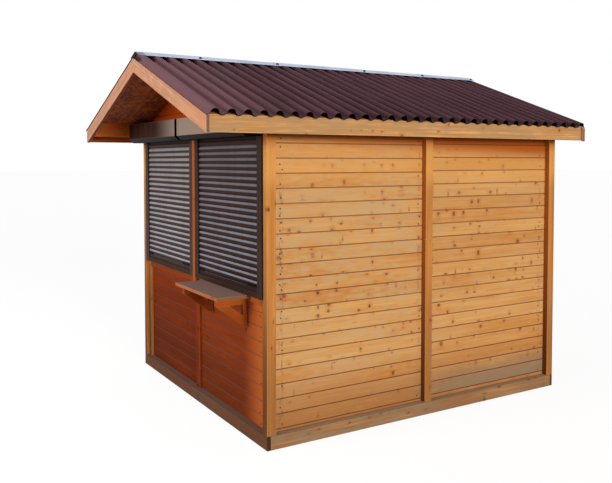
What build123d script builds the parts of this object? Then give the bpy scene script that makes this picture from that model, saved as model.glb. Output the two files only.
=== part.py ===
from build123d import *

import math
import os

# A wooden market hut with a shuttered serving front, boarded sides and a corrugated gable roof.
# The front gable faces -Y, X runs across the hut and Z is up.
# The origin is on the ground under the middle of the roof. All sizes are in millimetres.

# Frame of the walls
hut_width = 2145.0
hut_length = 2400.0
wall_depth = 60.0
trim_thickness = 22.0
board_thickness = 20.0
sill_height = 84.0
corner_post_width = 100.0
corner_board_width = 45.0
mid_post_width = 58.0
centre_post_width = 60.0
plate_underside = 1862.0
head_underside = 1812.0

# Floor between the sills
floor_thickness = 22.0
joist_height = 60.0
joist_width = 45.0
joist_count = 5

# Roof
roof_pitch_degrees = 20.0
side_overhang = 124.0
front_overhang = 423.0
back_overhang = 150.0
eave_top = 1914.0
fascia_height = 94.0
fascia_thickness = 22.0
barge_thickness = 22.0
barge_depth = 96.0
barge_mitre_gap = 1.0
front_barge_tail = 3.0
back_barge_tail = 18.0
deck_thickness = 12.0

# Corrugated sheets and ridge cap
wave_pitch_aim = 96.0
wave_height = 38.0
sheet_thickness = 3.0
sheet_seat_gap = 0.3
verge_overhang = 5.0
eave_drip = 15.0
sheet_ridge_gap = 12.0
cap_flange = 95.0
cap_thickness = 1.5
cap_seat_gap = 0.3
cap_front_setback = 12.0

# Roller shutters
counter_rail_top = 867.0
counter_rail_height = 45.0
cover_strip_width = 40.0
guide_width = 55.0
guide_proud = 5.0
guide_lip = 9.0
guide_slot = 14.0
guide_slot_depth = 38.0
guide_end_clearance = 1.0
shutter_sill_height = 33.0
bottom_bar_height = 22.0
slat_pitch = 38.25
slat_depth = 9.0
slat_bulge = 5.5
slat_groove = 4.0
curtain_slot_clearance = 2.5
curtain_edge_clearance = 3.0
curtain_seat_gap = 0.3
box_depth = 150.0
box_height = 145.0
box_chamfer = 29.0

# Serving shelf under the right-hand shutter
shelf_width = 660.0
shelf_left_edge = 160.0
shelf_projection = 202.0
shelf_thickness = 20.0
shelf_under_sill_gap = 2.0
bracket_thickness = 30.0
bracket_inset = 60.0
bracket_arm_height = 46.0
bracket_leg_depth = 20.0
bracket_drop = 180.0
bracket_nose_setback = 26.0
bracket_brace_width = 54.0

# Back door
door_width = 800.0
door_post_width = 60.0
door_gap = 4.0
door_leaf_thickness = 30.0
hinge_strap_length = 330.0
hinge_strap_height = 36.0
hinge_strap_thickness = 3.0
hinge_post_lap = 45.0
hinge_inset = 220.0
handle_height = 980.0
handle_inset = 55.0
handle_plate_width = 38.0
handle_plate_height = 190.0
handle_plate_thickness = 3.0
handle_standoff = 42.0
handle_spindle_radius = 8.0
handle_lever_length = 110.0
handle_lever_radius = 7.0

# Planes worked out from the sizes above
half_width = hut_width / 2
roof_length = front_overhang + hut_length + back_overhang
roof_front = -roof_length / 2
roof_back = roof_length / 2
wall_front = roof_front + front_overhang
wall_back = wall_front + hut_length
frame_front = wall_front + trim_thickness
frame_back = wall_back - trim_thickness
inner_front = wall_front + wall_depth
inner_back = wall_back - wall_depth
inner_half = half_width - wall_depth
post_inner = half_width - corner_post_width
board_recess = wall_depth - board_thickness
roof_pitch = math.radians(roof_pitch_degrees)
roof_slope = math.tan(roof_pitch)
eave_half = half_width + side_overhang
fascia_inner = eave_half - fascia_thickness
barge_front_inner = roof_front + barge_thickness
barge_back_inner = roof_back - barge_thickness
shutter_inner = cover_strip_width / 2
shutter_outer = inner_half - guide_end_clearance
guide_face = wall_front - guide_proud
shelf_top = counter_rail_top - shelf_under_sill_gap


def roof_top(x):
    """Height of the top of the roof deck at a distance from the ridge."""
    return eave_top + (eave_half - abs(x)) * roof_slope


def deck_underside(x):
    """Height of the underside of the roof deck at a distance from the ridge."""
    return roof_top(x) - deck_thickness / math.cos(roof_pitch)


def block(x_span, y_span, z_span):
    """A square-edged timber between two planes in each direction."""
    spans = (x_span, y_span, z_span)
    lows = [min(span) for span in spans]
    sizes = [max(span) - min(span) for span in spans]
    return Pos(*lows) * Box(*sizes, align=(Align.MIN, Align.MIN, Align.MIN))


def prism_y(outline, y_span):
    """A solid with an outline of (x, z) points that runs along Y."""
    points = [(x, y_span[0], z) for x, z in outline]
    face = Face(Wire.make_polygon(points, close=True))
    return extrude(face, amount=y_span[1] - y_span[0], dir=(0, 1, 0))


def prism_x(outline, x_span):
    """A solid with an outline of (y, z) points that runs along X."""
    points = [(x_span[0], y, z) for y, z in outline]
    face = Face(Wire.make_polygon(points, close=True))
    return extrude(face, amount=x_span[1] - x_span[0], dir=(1, 0, 0))


def prism_z(outline, z_span):
    """A solid with an outline of (x, y) points that runs up Z."""
    points = [(x, y, z_span[0]) for x, y in outline]
    face = Face(Wire.make_polygon(points, close=True))
    return extrude(face, amount=z_span[1] - z_span[0], dir=(0, 0, 1))


def other_side(shape):
    """The same shape on the other side of the hut."""
    return mirror(shape, about=Plane.YZ)


def pair(shape):
    """A shape and its mirror image across the hut, as solids that do not touch."""
    return Compound([*shape.solids(), *other_side(shape).solids()])


def base_and_floor():
    """Sills with rebated corners, and a floor on joists between them."""
    height = (0, sill_height)
    side = block((inner_half, half_width), (frame_front, frame_back), height)
    front = block((-half_width, half_width), (wall_front, frame_front), height)
    front += block((-inner_half, inner_half), (frame_front, inner_front), height)
    back = block((-half_width, half_width), (frame_back, wall_back), height)
    back += block((-inner_half, inner_half), (inner_back, frame_back), height)
    floor_underside = sill_height - floor_thickness
    floor = block((-inner_half, inner_half), (inner_front, inner_back), (floor_underside, sill_height))
    joist_step = (inner_back - inner_front - joist_width) / (joist_count - 1)
    joists = []
    for number in range(joist_count):
        start = inner_front + number * joist_step
        spans = (start, start + joist_width), (floor_underside - joist_height, floor_underside)
        joists.append(block((-inner_half, inner_half), *spans))
    return {
        "sill_right": side,
        "sill_left": other_side(side),
        "sill_front": front,
        "sill_back": back,
        "floor_deck": floor,
        "floor_joists": Compound([solid for joist in joists for solid in joist.solids()]),
    }


def posts_and_plates():
    """Corner posts with their cover boards, side posts and the plates that carry the roof."""
    standing = (sill_height, plate_underside)
    post_x = (post_inner, half_width)
    cover_x = (half_width - corner_board_width, half_width)
    middle = (wall_front + wall_back) / 2
    mid_y = (middle - mid_post_width / 2, middle + mid_post_width / 2)
    mid_post = block((half_width - board_recess, half_width), mid_y, standing)
    plate = prism_y(
        [
            (inner_half, plate_underside),
            (half_width, plate_underside),
            (half_width, deck_underside(half_width)),
            (inner_half, deck_underside(inner_half)),
        ],
        (barge_front_inner, barge_back_inner),
    )
    return {
        "corner_posts_front": pair(block(post_x, (frame_front, inner_front), standing)),
        "corner_posts_back": pair(block(post_x, (inner_back, frame_back), standing)),
        "corner_boards_front": pair(block(cover_x, (wall_front, frame_front), standing)),
        "corner_boards_back": pair(block(cover_x, (frame_back, wall_back), standing)),
        "mid_post_right": mid_post,
        "mid_post_left": other_side(mid_post),
        "wall_plate_right": plate,
        "wall_plate_left": other_side(plate),
    }


def side_walls():
    """Boarded side walls, set back behind the faces of the posts."""
    boards_x = (inner_half, half_width - board_recess)
    wall = block(boards_x, (inner_front, inner_back), (sill_height, plate_underside))
    return {"side_wall_right": wall, "side_wall_left": other_side(wall)}


def gable(y_span):
    """A boarded gable between the wall plates, up to the roof deck."""
    outline = [
        (-inner_half, plate_underside),
        (inner_half, plate_underside),
        (inner_half, deck_underside(inner_half)),
        (0, deck_underside(0)),
        (-inner_half, deck_underside(inner_half)),
    ]
    return prism_y(outline, y_span)


def front_wall():
    """Low boarded wall, counter rail, centre post, head rail and gable of the serving front."""
    frame_y = (frame_front, inner_front)
    boards_y = (wall_front + board_recess, inner_front)
    rail_underside = counter_rail_top - counter_rail_height
    bay_x = (centre_post_width / 2, post_inner)
    rail = block(bay_x, frame_y, (rail_underside, counter_rail_top))
    lower = block(bay_x, boards_y, (sill_height, rail_underside))
    centre_x = (-centre_post_width / 2, centre_post_width / 2)
    strip_x = (-cover_strip_width / 2, cover_strip_width / 2)
    strip_z = (rail_underside, head_underside)
    return {
        "front_wall_right": lower,
        "front_wall_left": other_side(lower),
        "counter_rail": pair(rail),
        "centre_post": block(centre_x, frame_y, (sill_height, head_underside)),
        "cover_strip": block(strip_x, (guide_face, frame_front), strip_z),
        "front_head_rail": block((-post_inner, post_inner), frame_y, (head_underside, plate_underside)),
        "front_gable": gable(boards_y),
    }


def guide(mouth_x, back_x):
    """One shutter guide: a channel whose slot opens towards the curtain."""
    towards = 1 if mouth_x < back_x else -1
    slot_end = mouth_x + towards * guide_slot_depth
    slot_front = guide_face + guide_lip
    outline = [
        (mouth_x, guide_face),
        (back_x, guide_face),
        (back_x, frame_front),
        (mouth_x, frame_front),
        (mouth_x, slot_front + guide_slot),
        (slot_end, slot_front + guide_slot),
        (slot_end, slot_front),
        (mouth_x, slot_front),
    ]
    return prism_z(outline, (counter_rail_top, head_underside))


def curtain():
    """Closed roller curtain: bulging slats with hinge grooves above a flat bottom bar."""
    edge_gap = guide_slot_depth - curtain_edge_clearance
    left = shutter_inner + guide_width - edge_gap
    right = shutter_outer - guide_width + edge_gap
    crown = guide_face + guide_lip + curtain_slot_clearance
    groove = crown + slat_bulge
    rear = crown + slat_depth
    bottom = counter_rail_top + shutter_sill_height + curtain_seat_gap
    bar_top = bottom + bottom_bar_height
    slat_count = int((head_underside - bar_top - slat_groove) / slat_pitch)
    slats_top = bar_top + slat_count * slat_pitch

    def at(y, z):
        return (left, y, z)

    edges = [Line(at(rear, bottom), at(crown, bottom)), Line(at(crown, bottom), at(crown, bar_top))]
    edges.append(Line(at(crown, bar_top), at(groove, bar_top)))
    for number in range(slat_count):
        foot = bar_top + number * slat_pitch
        shoulder = foot + slat_groove
        top = foot + slat_pitch
        edges.append(Line(at(groove, foot), at(groove, shoulder)))
        edges.append(ThreePointArc(at(groove, shoulder), at(crown, (shoulder + top) / 2), at(groove, top)))
    edges.append(Line(at(groove, slats_top), at(groove, head_underside)))
    edges.append(Line(at(groove, head_underside), at(rear, head_underside)))
    edges.append(Line(at(rear, head_underside), at(rear, bottom)))
    face = Face(Wire([edge.edge() for edge in edges]))
    return extrude(face, amount=right - left, dir=(1, 0, 0))


def shutters():
    """Two closed roller shutters with their boxes, guides and sill strips."""
    box_front = frame_front - guide_proud - box_depth
    box_back = frame_front - guide_proud
    box_top = head_underside + box_height
    box = prism_x(
        [
            (box_back, head_underside),
            (box_back, box_top),
            (box_front, box_top),
            (box_front, head_underside + box_chamfer),
            (box_front + box_chamfer, head_underside),
        ],
        (shutter_inner, shutter_outer),
    )
    inner_guide = guide(shutter_inner + guide_width, shutter_inner)
    outer_guide = guide(shutter_outer - guide_width, shutter_outer)
    guides = Compound([*inner_guide.solids(), *outer_guide.solids()])
    strip_x = (shutter_inner + guide_width, shutter_outer - guide_width)
    strip_z = (counter_rail_top, counter_rail_top + shutter_sill_height)
    strip = block(strip_x, (guide_face, inner_front), strip_z)
    closed = curtain()
    return {
        "shutter_box_right": box,
        "shutter_box_left": other_side(box),
        "shutter_guides_right": guides,
        "shutter_guides_left": Compound(list(other_side(guides).solids())),
        "shutter_sills": pair(strip),
        "shutter_curtain_right": closed,
        "shutter_curtain_left": other_side(closed),
    }


def bracket(x_low):
    """A braced wooden bracket under the shelf, with its open triangle."""
    top = shelf_top - shelf_thickness
    foot = top - bracket_drop
    wall = frame_front
    nose = wall_front - shelf_projection + bracket_nose_setback
    arm_underside = top - bracket_arm_height
    leg_front = wall - bracket_leg_depth
    span = (x_low, x_low + bracket_thickness)
    plate = prism_x([(wall, foot), (wall, top), (nose, top), (nose, arm_underside), (leg_front, foot)], span)
    run = leg_front - nose
    rise = arm_underside - foot
    brace_length = math.hypot(run, rise)
    inner_run = run - bracket_brace_width * brace_length / rise
    inner_rise = rise - bracket_brace_width * brace_length / run
    hole = [(leg_front, arm_underside), (leg_front - inner_run, arm_underside)]
    hole.append((leg_front, arm_underside - inner_rise))
    return plate - prism_x(hole, span)


def serving_shelf():
    """A plain serving shelf and its two brackets."""
    right_edge = shelf_left_edge + shelf_width
    shelf_y = (wall_front - shelf_projection, frame_front)
    shelf = block((shelf_left_edge, right_edge), shelf_y, (shelf_top - shelf_thickness, shelf_top))
    left = bracket(shelf_left_edge + bracket_inset)
    right = bracket(right_edge - bracket_inset - bracket_thickness)
    return {
        "counter_shelf": shelf,
        "shelf_brackets": Compound([*left.solids(), *right.solids()]),
    }


def back_wall():
    """Boarded back wall with a closed door in its frame."""
    frame_y = (inner_back, frame_back)
    boards_y = (inner_back, wall_back - board_recess)
    door_half = door_width / 2
    post_outer = door_half + door_post_width
    post = block((door_half, post_outer), frame_y, (sill_height, head_underside))
    wall = block((post_outer, post_inner), boards_y, (sill_height, head_underside))
    leaf_half = door_half - door_gap
    leaf_z = (sill_height + door_gap, head_underside - door_gap)
    leaf = block((-leaf_half, leaf_half), (frame_back - door_leaf_thickness, frame_back), leaf_z)
    strap_y = (frame_back, frame_back + hinge_strap_thickness)
    strap_start = door_half + hinge_post_lap
    straps = []
    for middle in (leaf_z[0] + hinge_inset, leaf_z[1] - hinge_inset):
        strap_z = (middle - hinge_strap_height / 2, middle + hinge_strap_height / 2)
        straps += block((strap_start - hinge_strap_length, strap_start), strap_y, strap_z).solids()
    plate_x = -leaf_half + handle_inset
    plate_y = (frame_back, frame_back + handle_plate_thickness)
    plate_spans = [
        (plate_x - handle_plate_width / 2, plate_x + handle_plate_width / 2),
        plate_y,
        (handle_height - handle_plate_height / 2, handle_height + handle_plate_height / 2),
    ]
    spindle_plane = Plane((plate_x, plate_y[1], handle_height), z_dir=(0, 1, 0))
    lever_plane = Plane((plate_x, plate_y[1] + handle_standoff, handle_height), z_dir=(1, 0, 0))
    upright = (Align.CENTER, Align.CENTER, Align.MIN)
    spindle = spindle_plane * Cylinder(handle_spindle_radius, handle_standoff, align=upright)
    lever = lever_plane * Cylinder(handle_lever_radius, handle_lever_length, align=upright)
    hub = lever_plane * Sphere(handle_spindle_radius)
    handle = block(*plate_spans) + spindle + lever + hub
    return {
        "back_walls": pair(wall),
        "back_head_rail": block((-post_inner, post_inner), frame_y, (head_underside, plate_underside)),
        "back_gable": gable(boards_y),
        "door_posts": pair(post),
        "door_leaf": leaf,
        "door_hinges": Compound(straps),
        "door_handle": handle,
    }


def barge_boards(y_span, tail):
    """The two sloping boards along one verge, with plumb cuts at the ridge and the eaves."""
    near = barge_mitre_gap / 2
    far = eave_half + tail
    outline = [
        (near, roof_top(near)),
        (far, roof_top(far)),
        (far, roof_top(far) - barge_depth),
        (near, roof_top(near) - barge_depth),
    ]
    return pair(prism_y(outline, y_span))


def roof_timber():
    """Roof decks, eave boards and barge boards."""
    between_barges = (barge_front_inner, barge_back_inner)
    deck = prism_y(
        [
            (0, roof_top(0)),
            (fascia_inner, roof_top(fascia_inner)),
            (fascia_inner, deck_underside(fascia_inner)),
            (0, deck_underside(0)),
        ],
        between_barges,
    )
    fascia_underside = eave_top - fascia_height
    fascia = prism_y(
        [
            (fascia_inner, fascia_underside),
            (eave_half, fascia_underside),
            (eave_half, roof_top(eave_half)),
            (fascia_inner, roof_top(fascia_inner)),
        ],
        between_barges,
    )
    return {
        "roof_deck_right": deck,
        "roof_deck_left": other_side(deck),
        "fascia_right": fascia,
        "fascia_left": other_side(fascia),
        "barge_boards_front": barge_boards((roof_front, barge_front_inner), front_barge_tail),
        "barge_boards_back": barge_boards((barge_back_inner, roof_back), back_barge_tail),
    }


def roof_sheet():
    """One side's corrugated sheeting: tangent arcs along the verge, run down the slope."""
    sheet_length = roof_length + 2 * verge_overhang
    wave_count = round(sheet_length / wave_pitch_aim)
    half_wave = sheet_length / wave_count / 2
    rise = (wave_height - sheet_thickness) / 2
    half_skin = sheet_thickness / 2
    radius = (half_wave**2 / 4 + rise**2) / (2 * rise)
    middle = sheet_seat_gap + wave_height / 2
    lean = math.asin(half_wave / 2 / radius)
    verge = Plane(
        origin=(0, roof_front - verge_overhang, roof_top(0)),
        x_dir=(0, 1, 0),
        z_dir=(math.cos(roof_pitch), 0, -math.sin(roof_pitch)),
    )

    def skin(offset):
        """One face of the sheet, as arcs about the waves' own centres, from trough to trough."""
        arcs = []
        last = 2 * wave_count
        for number in range(last + 1):
            crest = 1 if number % 2 else -1
            centre_x = number * half_wave
            centre_y = middle + crest * (rise - radius)
            reach = radius + crest * offset
            start_angle = -lean if number > 0 else 0
            end_angle = lean if number < last else 0
            angles = (start_angle, (start_angle + end_angle) / 2, end_angle)
            points = [
                (centre_x + reach * math.sin(angle), centre_y + crest * reach * math.cos(angle))
                for angle in angles
            ]
            arcs.append(ThreePointArc(*points))
        return arcs

    upper = skin(half_skin)
    lower = skin(-half_skin)
    ends = [Line(upper[0] @ 0, lower[0] @ 0), Line(upper[-1] @ 1, lower[-1] @ 1)]
    profile = Face(Wire([edge.edge() for edge in (*upper, *lower, *ends)]))
    slope_length = (eave_half / math.cos(roof_pitch)) + eave_drip - sheet_ridge_gap
    start = verge.offset(sheet_ridge_gap)
    return extrude(start * profile, amount=slope_length, dir=tuple(start.z_dir))


def ridge_cap():
    """A folded metal cap over the tops of both sheets."""
    seat = sheet_seat_gap + wave_height + cap_seat_gap
    inner_apex = roof_top(0) + seat / math.cos(roof_pitch)
    outer_apex = inner_apex + cap_thickness / math.cos(roof_pitch)
    reach = cap_flange * math.cos(roof_pitch)
    drop = cap_flange * math.sin(roof_pitch)
    step_x = cap_thickness * math.sin(roof_pitch)
    step_z = cap_thickness * math.cos(roof_pitch)
    half_outline = [(reach, inner_apex - drop), (reach + step_x, inner_apex - drop + step_z)]
    outline = [(0, inner_apex), *half_outline, (0, outer_apex)]
    outline += [(-x, z) for x, z in reversed(half_outline)]
    return prism_y(outline, (roof_front + cap_front_setback, roof_back))


def roof_cover():
    """Both corrugated sheets and the ridge cap."""
    sheet = roof_sheet()
    return {
        "roof_sheet_right": sheet,
        "roof_sheet_left": other_side(sheet),
        "ridge_cap": ridge_cap(),
    }


pieces = {
    **base_and_floor(),
    **posts_and_plates(),
    **side_walls(),
    **front_wall(),
    **shutters(),
    **serving_shelf(),
    **back_wall(),
    **roof_timber(),
    **roof_cover(),
}

os.makedirs("parts", exist_ok=True)
for node, shape in pieces.items():
    export_step(shape, os.path.join("parts", node + ".step"))
    print(node, len(shape.solids()), round(shape.volume))
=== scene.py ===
"""Wooden market hut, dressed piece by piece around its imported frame."""

import logging
import math
import random
from dataclasses import dataclass, replace
from enum import Enum
from typing import Iterator, Sequence, Union

import bmesh
import bpy
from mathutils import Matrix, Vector


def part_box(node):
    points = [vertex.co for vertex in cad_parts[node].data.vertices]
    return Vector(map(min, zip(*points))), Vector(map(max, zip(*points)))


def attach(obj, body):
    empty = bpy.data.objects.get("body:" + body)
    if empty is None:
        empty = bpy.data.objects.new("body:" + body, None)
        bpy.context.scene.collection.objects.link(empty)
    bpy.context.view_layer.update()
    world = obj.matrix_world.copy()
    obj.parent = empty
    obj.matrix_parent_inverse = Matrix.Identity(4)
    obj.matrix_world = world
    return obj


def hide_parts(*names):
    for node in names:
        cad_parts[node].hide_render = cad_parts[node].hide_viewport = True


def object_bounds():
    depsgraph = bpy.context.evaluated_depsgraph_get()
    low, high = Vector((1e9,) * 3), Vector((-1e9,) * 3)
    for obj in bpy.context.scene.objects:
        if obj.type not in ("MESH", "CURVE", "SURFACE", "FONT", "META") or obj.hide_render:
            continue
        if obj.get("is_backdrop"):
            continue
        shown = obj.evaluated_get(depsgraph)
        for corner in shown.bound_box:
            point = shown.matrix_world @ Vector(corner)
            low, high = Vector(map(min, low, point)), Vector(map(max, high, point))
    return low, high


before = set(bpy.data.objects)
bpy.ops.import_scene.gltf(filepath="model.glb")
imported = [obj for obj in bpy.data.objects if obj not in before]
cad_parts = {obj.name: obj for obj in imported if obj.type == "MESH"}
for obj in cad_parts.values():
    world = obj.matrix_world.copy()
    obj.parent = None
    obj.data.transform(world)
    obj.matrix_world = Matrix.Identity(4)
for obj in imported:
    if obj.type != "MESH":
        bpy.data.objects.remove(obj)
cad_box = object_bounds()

LOG = logging.getLogger("market_hut")
BODY = "root"
ROOF_PITCH = math.radians(20)
NAIL_INSET = 0.055

Colour = tuple[float, float, float, float]
Socket = bpy.types.NodeSocket
Feed = Union[Socket, float, Colour]
# Two values that go together: a start and an end, a scale and a detail, a strength and a height.
Pair = tuple[float, float]
Scales = tuple[float, float, float]
# A noise's scale along each axis, and its detail.
Drawn = tuple[Scales, float]
Solid = list[bmesh.types.BMVert]


def screen_colour(red: int, green: int, blue: int) -> Colour:
    """Turns a screen colour into the linear colour that a shader takes.

    Args:
        red: Red level, 0 to 255.
        green: Green level, 0 to 255.
        blue: Blue level, 0 to 255.

    Returns:
        The linear colour with full alpha.
    """
    shares = [level / 255 for level in (red, green, blue)]
    linear = [s / 12.92 if s <= 0.04045 else ((s + 0.055) / 1.055) ** 2.4 for s in shares]
    return (*linear, 1.0)


def plain_grey(level: float) -> Colour:
    """A grey of one linear level."""
    return (level, level, level, 1.0)


class GrainAxis(Enum):
    """The way a straight timber's fibres run: along, across and into the timber."""

    X = (Vector((1, 0, 0)), Vector((0, 0, 1)), Vector((0, 1, 0)))
    Y = (Vector((0, 1, 0)), Vector((0, 0, 1)), Vector((1, 0, 0)))
    Z = (Vector((0, 0, 1)), Vector((0, 1, 0)), Vector((1, 0, 0)))


class Side(Enum):
    """The right-hand or left-hand half of the hut, as its sign along X."""

    RIGHT = 1
    LEFT = -1

    @property
    def word(self) -> str:
        """The side's word in node names."""
        return self.name.lower()


class NodeSheet:
    """The nodes of one material, added and wired by small calls."""

    noise_middle: float = 0.5
    mix_first: int = 6
    mix_second: int = 7
    mix_result: int = 2

    def __init__(self, name: str) -> None:
        """Starts an empty sheet for a new material.

        Args:
            name: The material's name.
        """
        self.material: bpy.types.Material = bpy.data.materials.new(name)
        self.material.use_nodes = True
        self.tree: bpy.types.NodeTree = self.material.node_tree
        self.tree.nodes.clear()

    def node(self, kind: str, **settings: Union[str, bool]) -> bpy.types.Node:
        """Adds a node.

        Args:
            kind: The node's type name.
            **settings: Properties to set on it.

        Returns:
            The new node.
        """
        made = self.tree.nodes.new(kind)
        for key, value in settings.items():
            setattr(made, key, value)
        return made

    def feed(self, socket: Socket, value: Feed) -> None:
        """Wires a socket to another one, or sets its value.

        Args:
            socket: The input to feed.
            value: An output socket, a number or a colour.
        """
        if isinstance(value, bpy.types.NodeSocket):
            self.tree.links.new(value, socket)
        else:
            socket.default_value = value

    def math(self, operation: str, first: Feed, second: Feed = 0.0, clamp: bool = False) -> Socket:
        """Adds one sum.

        Args:
            operation: The sum's type name.
            first: Its first value.
            second: Its second value, where it has one.
            clamp: Whether the result is kept between 0 and 1.

        Returns:
            The result.
        """
        made = self.node("ShaderNodeMath", operation=operation, use_clamp=clamp)
        self.feed(made.inputs[0], first)
        self.feed(made.inputs[1], second)
        return made.outputs[0]

    def times(self, first: Feed, second: Feed) -> Socket:
        """Multiplies two values."""
        return self.math("MULTIPLY", first, second)

    def plus(self, first: Feed, second: Feed) -> Socket:
        """Adds two values."""
        return self.math("ADD", first, second)

    def minus(self, first: Feed, second: Feed) -> Socket:
        """Takes the second value from the first."""
        return self.math("SUBTRACT", first, second)

    def swing(self, noise: Socket, share: float) -> Socket:
        """A share of how far a noise lies above or below its middle."""
        return self.times(self.minus(noise, self.noise_middle), share)

    def fade(self, value: Feed, start: float, end: float) -> Socket:
        """Turns a value into a smooth step.

        Args:
            value: The value that is measured.
            start: Where the step is still 0.
            end: Where the step has reached 1, on either side of start.

        Returns:
            The step, from 0 to 1.
        """
        made = self.node("ShaderNodeMapRange", interpolation_type="SMOOTHSTEP", clamp=True)
        self.feed(made.inputs["Value"], value)
        self.feed(made.inputs["From Min"], start)
        self.feed(made.inputs["From Max"], end)
        return made.outputs[0]

    def mix(self, share: Feed, first: Feed, second: Feed) -> Socket:
        """Mixes two colours.

        Args:
            share: The share of the second colour.
            first: The first colour.
            second: The second colour.

        Returns:
            The mixed colour.
        """
        made = self.node("ShaderNodeMix", data_type="RGBA", clamp_factor=True)
        self.feed(made.inputs[0], share)
        self.feed(made.inputs[self.mix_first], first)
        self.feed(made.inputs[self.mix_second], second)
        return made.outputs[self.mix_result]

    def lay(self, colour: Feed, amount: Feed, share: float, over: Feed) -> Feed:
        """Lays one colour over another.

        Args:
            colour: The colour below.
            amount: Where the upper colour lies, from 0 to 1.
            share: How much of it shows there.
            over: The upper colour.

        Returns:
            The mixed colour, or the one below where the share is 0.
        """
        return self.mix(self.times(amount, share), colour, over) if share else colour

    def attribute(self, name: str, output: str = "Fac") -> Socket:
        """Reads a value that the mesh keeps for each point or face."""
        return self.node("ShaderNodeAttribute", attribute_name=name).outputs[output]

    def place(self) -> Socket:
        """The point's place in the hut's own frame, in metres."""
        return self.node("ShaderNodeTexCoord").outputs["Object"]

    def facing(self) -> tuple[Socket, Socket, Socket]:
        """How far the surface looks to the right, to the back and up, each from -1 to 1."""
        return self.split(self.node("ShaderNodeNewGeometry").outputs["Normal"])

    def split(self, vector: Socket) -> tuple[Socket, Socket, Socket]:
        """Splits a vector.

        Args:
            vector: The vector.

        Returns:
            Its three parts.
        """
        made = self.node("ShaderNodeSeparateXYZ")
        self.feed(made.inputs[0], vector)
        return made.outputs[0], made.outputs[1], made.outputs[2]

    def join(self, first: Feed, second: Feed) -> Socket:
        """Joins two values.

        Args:
            first: The first value.
            second: The second value.

        Returns:
            The flat vector that they make.
        """
        made = self.node("ShaderNodeCombineXYZ")
        for socket, value in zip(made.inputs, (first, second)):
            self.feed(socket, value)
        return made.outputs[0]

    def stretch(self, vector: Socket, scales: Scales, turn: float = 0.0) -> Socket:
        """Turns a vector about Z and scales it.

        Args:
            vector: The vector.
            scales: The scale along each axis.
            turn: The turn in degrees.

        Returns:
            The turned and scaled vector.
        """
        made = self.node("ShaderNodeMapping", vector_type="TEXTURE")
        self.feed(made.inputs["Vector"], vector)
        made.inputs["Rotation"].default_value = (0.0, 0.0, math.radians(turn))
        made.inputs["Scale"].default_value = tuple(1 / s for s in scales)
        return made.outputs[0]

    def noise(self, vector: Socket, scale: float, detail: float) -> Socket:
        """Adds cloudy noise.

        Args:
            vector: Where it is read.
            scale: How many lumps there are to a unit.
            detail: How many finer layers it has.

        Returns:
            The noise, about 0.5.
        """
        made = self.node("ShaderNodeTexNoise")
        self.feed(made.inputs["Vector"], vector)
        made.inputs["Scale"].default_value = scale
        made.inputs["Detail"].default_value = detail
        return made.outputs[0]

    def drawn_noise(self, vector: Socket, scales: Scales, detail: float, turn: float = 0.0) -> Socket:
        """Adds noise that is drawn out into streaks.

        Args:
            vector: Where it is read.
            scales: How many lumps there are to a unit along each axis.
            detail: How many finer layers it has.
            turn: The turn of the streaks in degrees.

        Returns:
            The noise, about 0.5.
        """
        return self.noise(self.stretch(vector, scales, turn), 1.0, detail)

    def cells(self, vector: Socket, flat: bool = False) -> tuple[Socket, tuple[Socket, Socket, Socket]]:
        """Adds a pattern of scattered cells.

        Args:
            vector: Where it is read.
            flat: Whether the cells lie in a plane.

        Returns:
            The distance to the cell's middle, and three values that differ from cell to cell.
        """
        made = self.node("ShaderNodeTexVoronoi", voronoi_dimensions="2D" if flat else "3D")
        self.feed(made.inputs["Vector"], vector)
        made.inputs["Scale"].default_value = 1.0
        parts = self.node("ShaderNodeSeparateColor")
        self.feed(parts.inputs[0], made.outputs["Color"])
        return made.outputs["Distance"], (parts.outputs[0], parts.outputs[1], parts.outputs[2])

    def bump(self, height: Socket, strength: float, distance: float) -> Socket:
        """Turns a height into a surface's fine relief.

        Args:
            height: The height, from 0 to 1.
            strength: How much of the relief shows.
            distance: The relief's full height in metres.

        Returns:
            The normal for a shader.
        """
        made = self.node("ShaderNodeBump")
        self.feed(made.inputs["Height"], height)
        made.inputs["Strength"].default_value = strength
        made.inputs["Distance"].default_value = distance
        return made.outputs[0]

    def surface(self, colour: Feed, roughness: Feed, normal: Socket, **levels: float) -> bpy.types.Material:
        """Closes the sheet with a shader.

        Args:
            colour: The base colour.
            roughness: The roughness.
            normal: The normal from the relief.
            **levels: The shader's other levels, by socket name with underscores for spaces.

        Returns:
            The finished material.
        """
        shader = self.node("ShaderNodeBsdfPrincipled")
        self.feed(shader.inputs["Base Color"], colour)
        self.feed(shader.inputs["Roughness"], roughness)
        self.feed(shader.inputs["Normal"], normal)
        for name, level in levels.items():
            shader.inputs[name.replace("_", " ")].default_value = level
        target = self.node("ShaderNodeOutputMaterial")
        self.feed(target.inputs["Surface"], shader.outputs[0])
        return self.material


@dataclass(frozen=True)
class Finish:
    """A finish, made as a material when a piece first asks for it."""

    name: str

    def material(self) -> bpy.types.Material:
        """The finish as a material, made once."""
        return bpy.data.materials.get(self.name) or self._make()

    def _make(self) -> bpy.types.Material:
        """Draws the nodes, which each kind of finish does in its own way."""
        raise NotImplementedError


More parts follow.
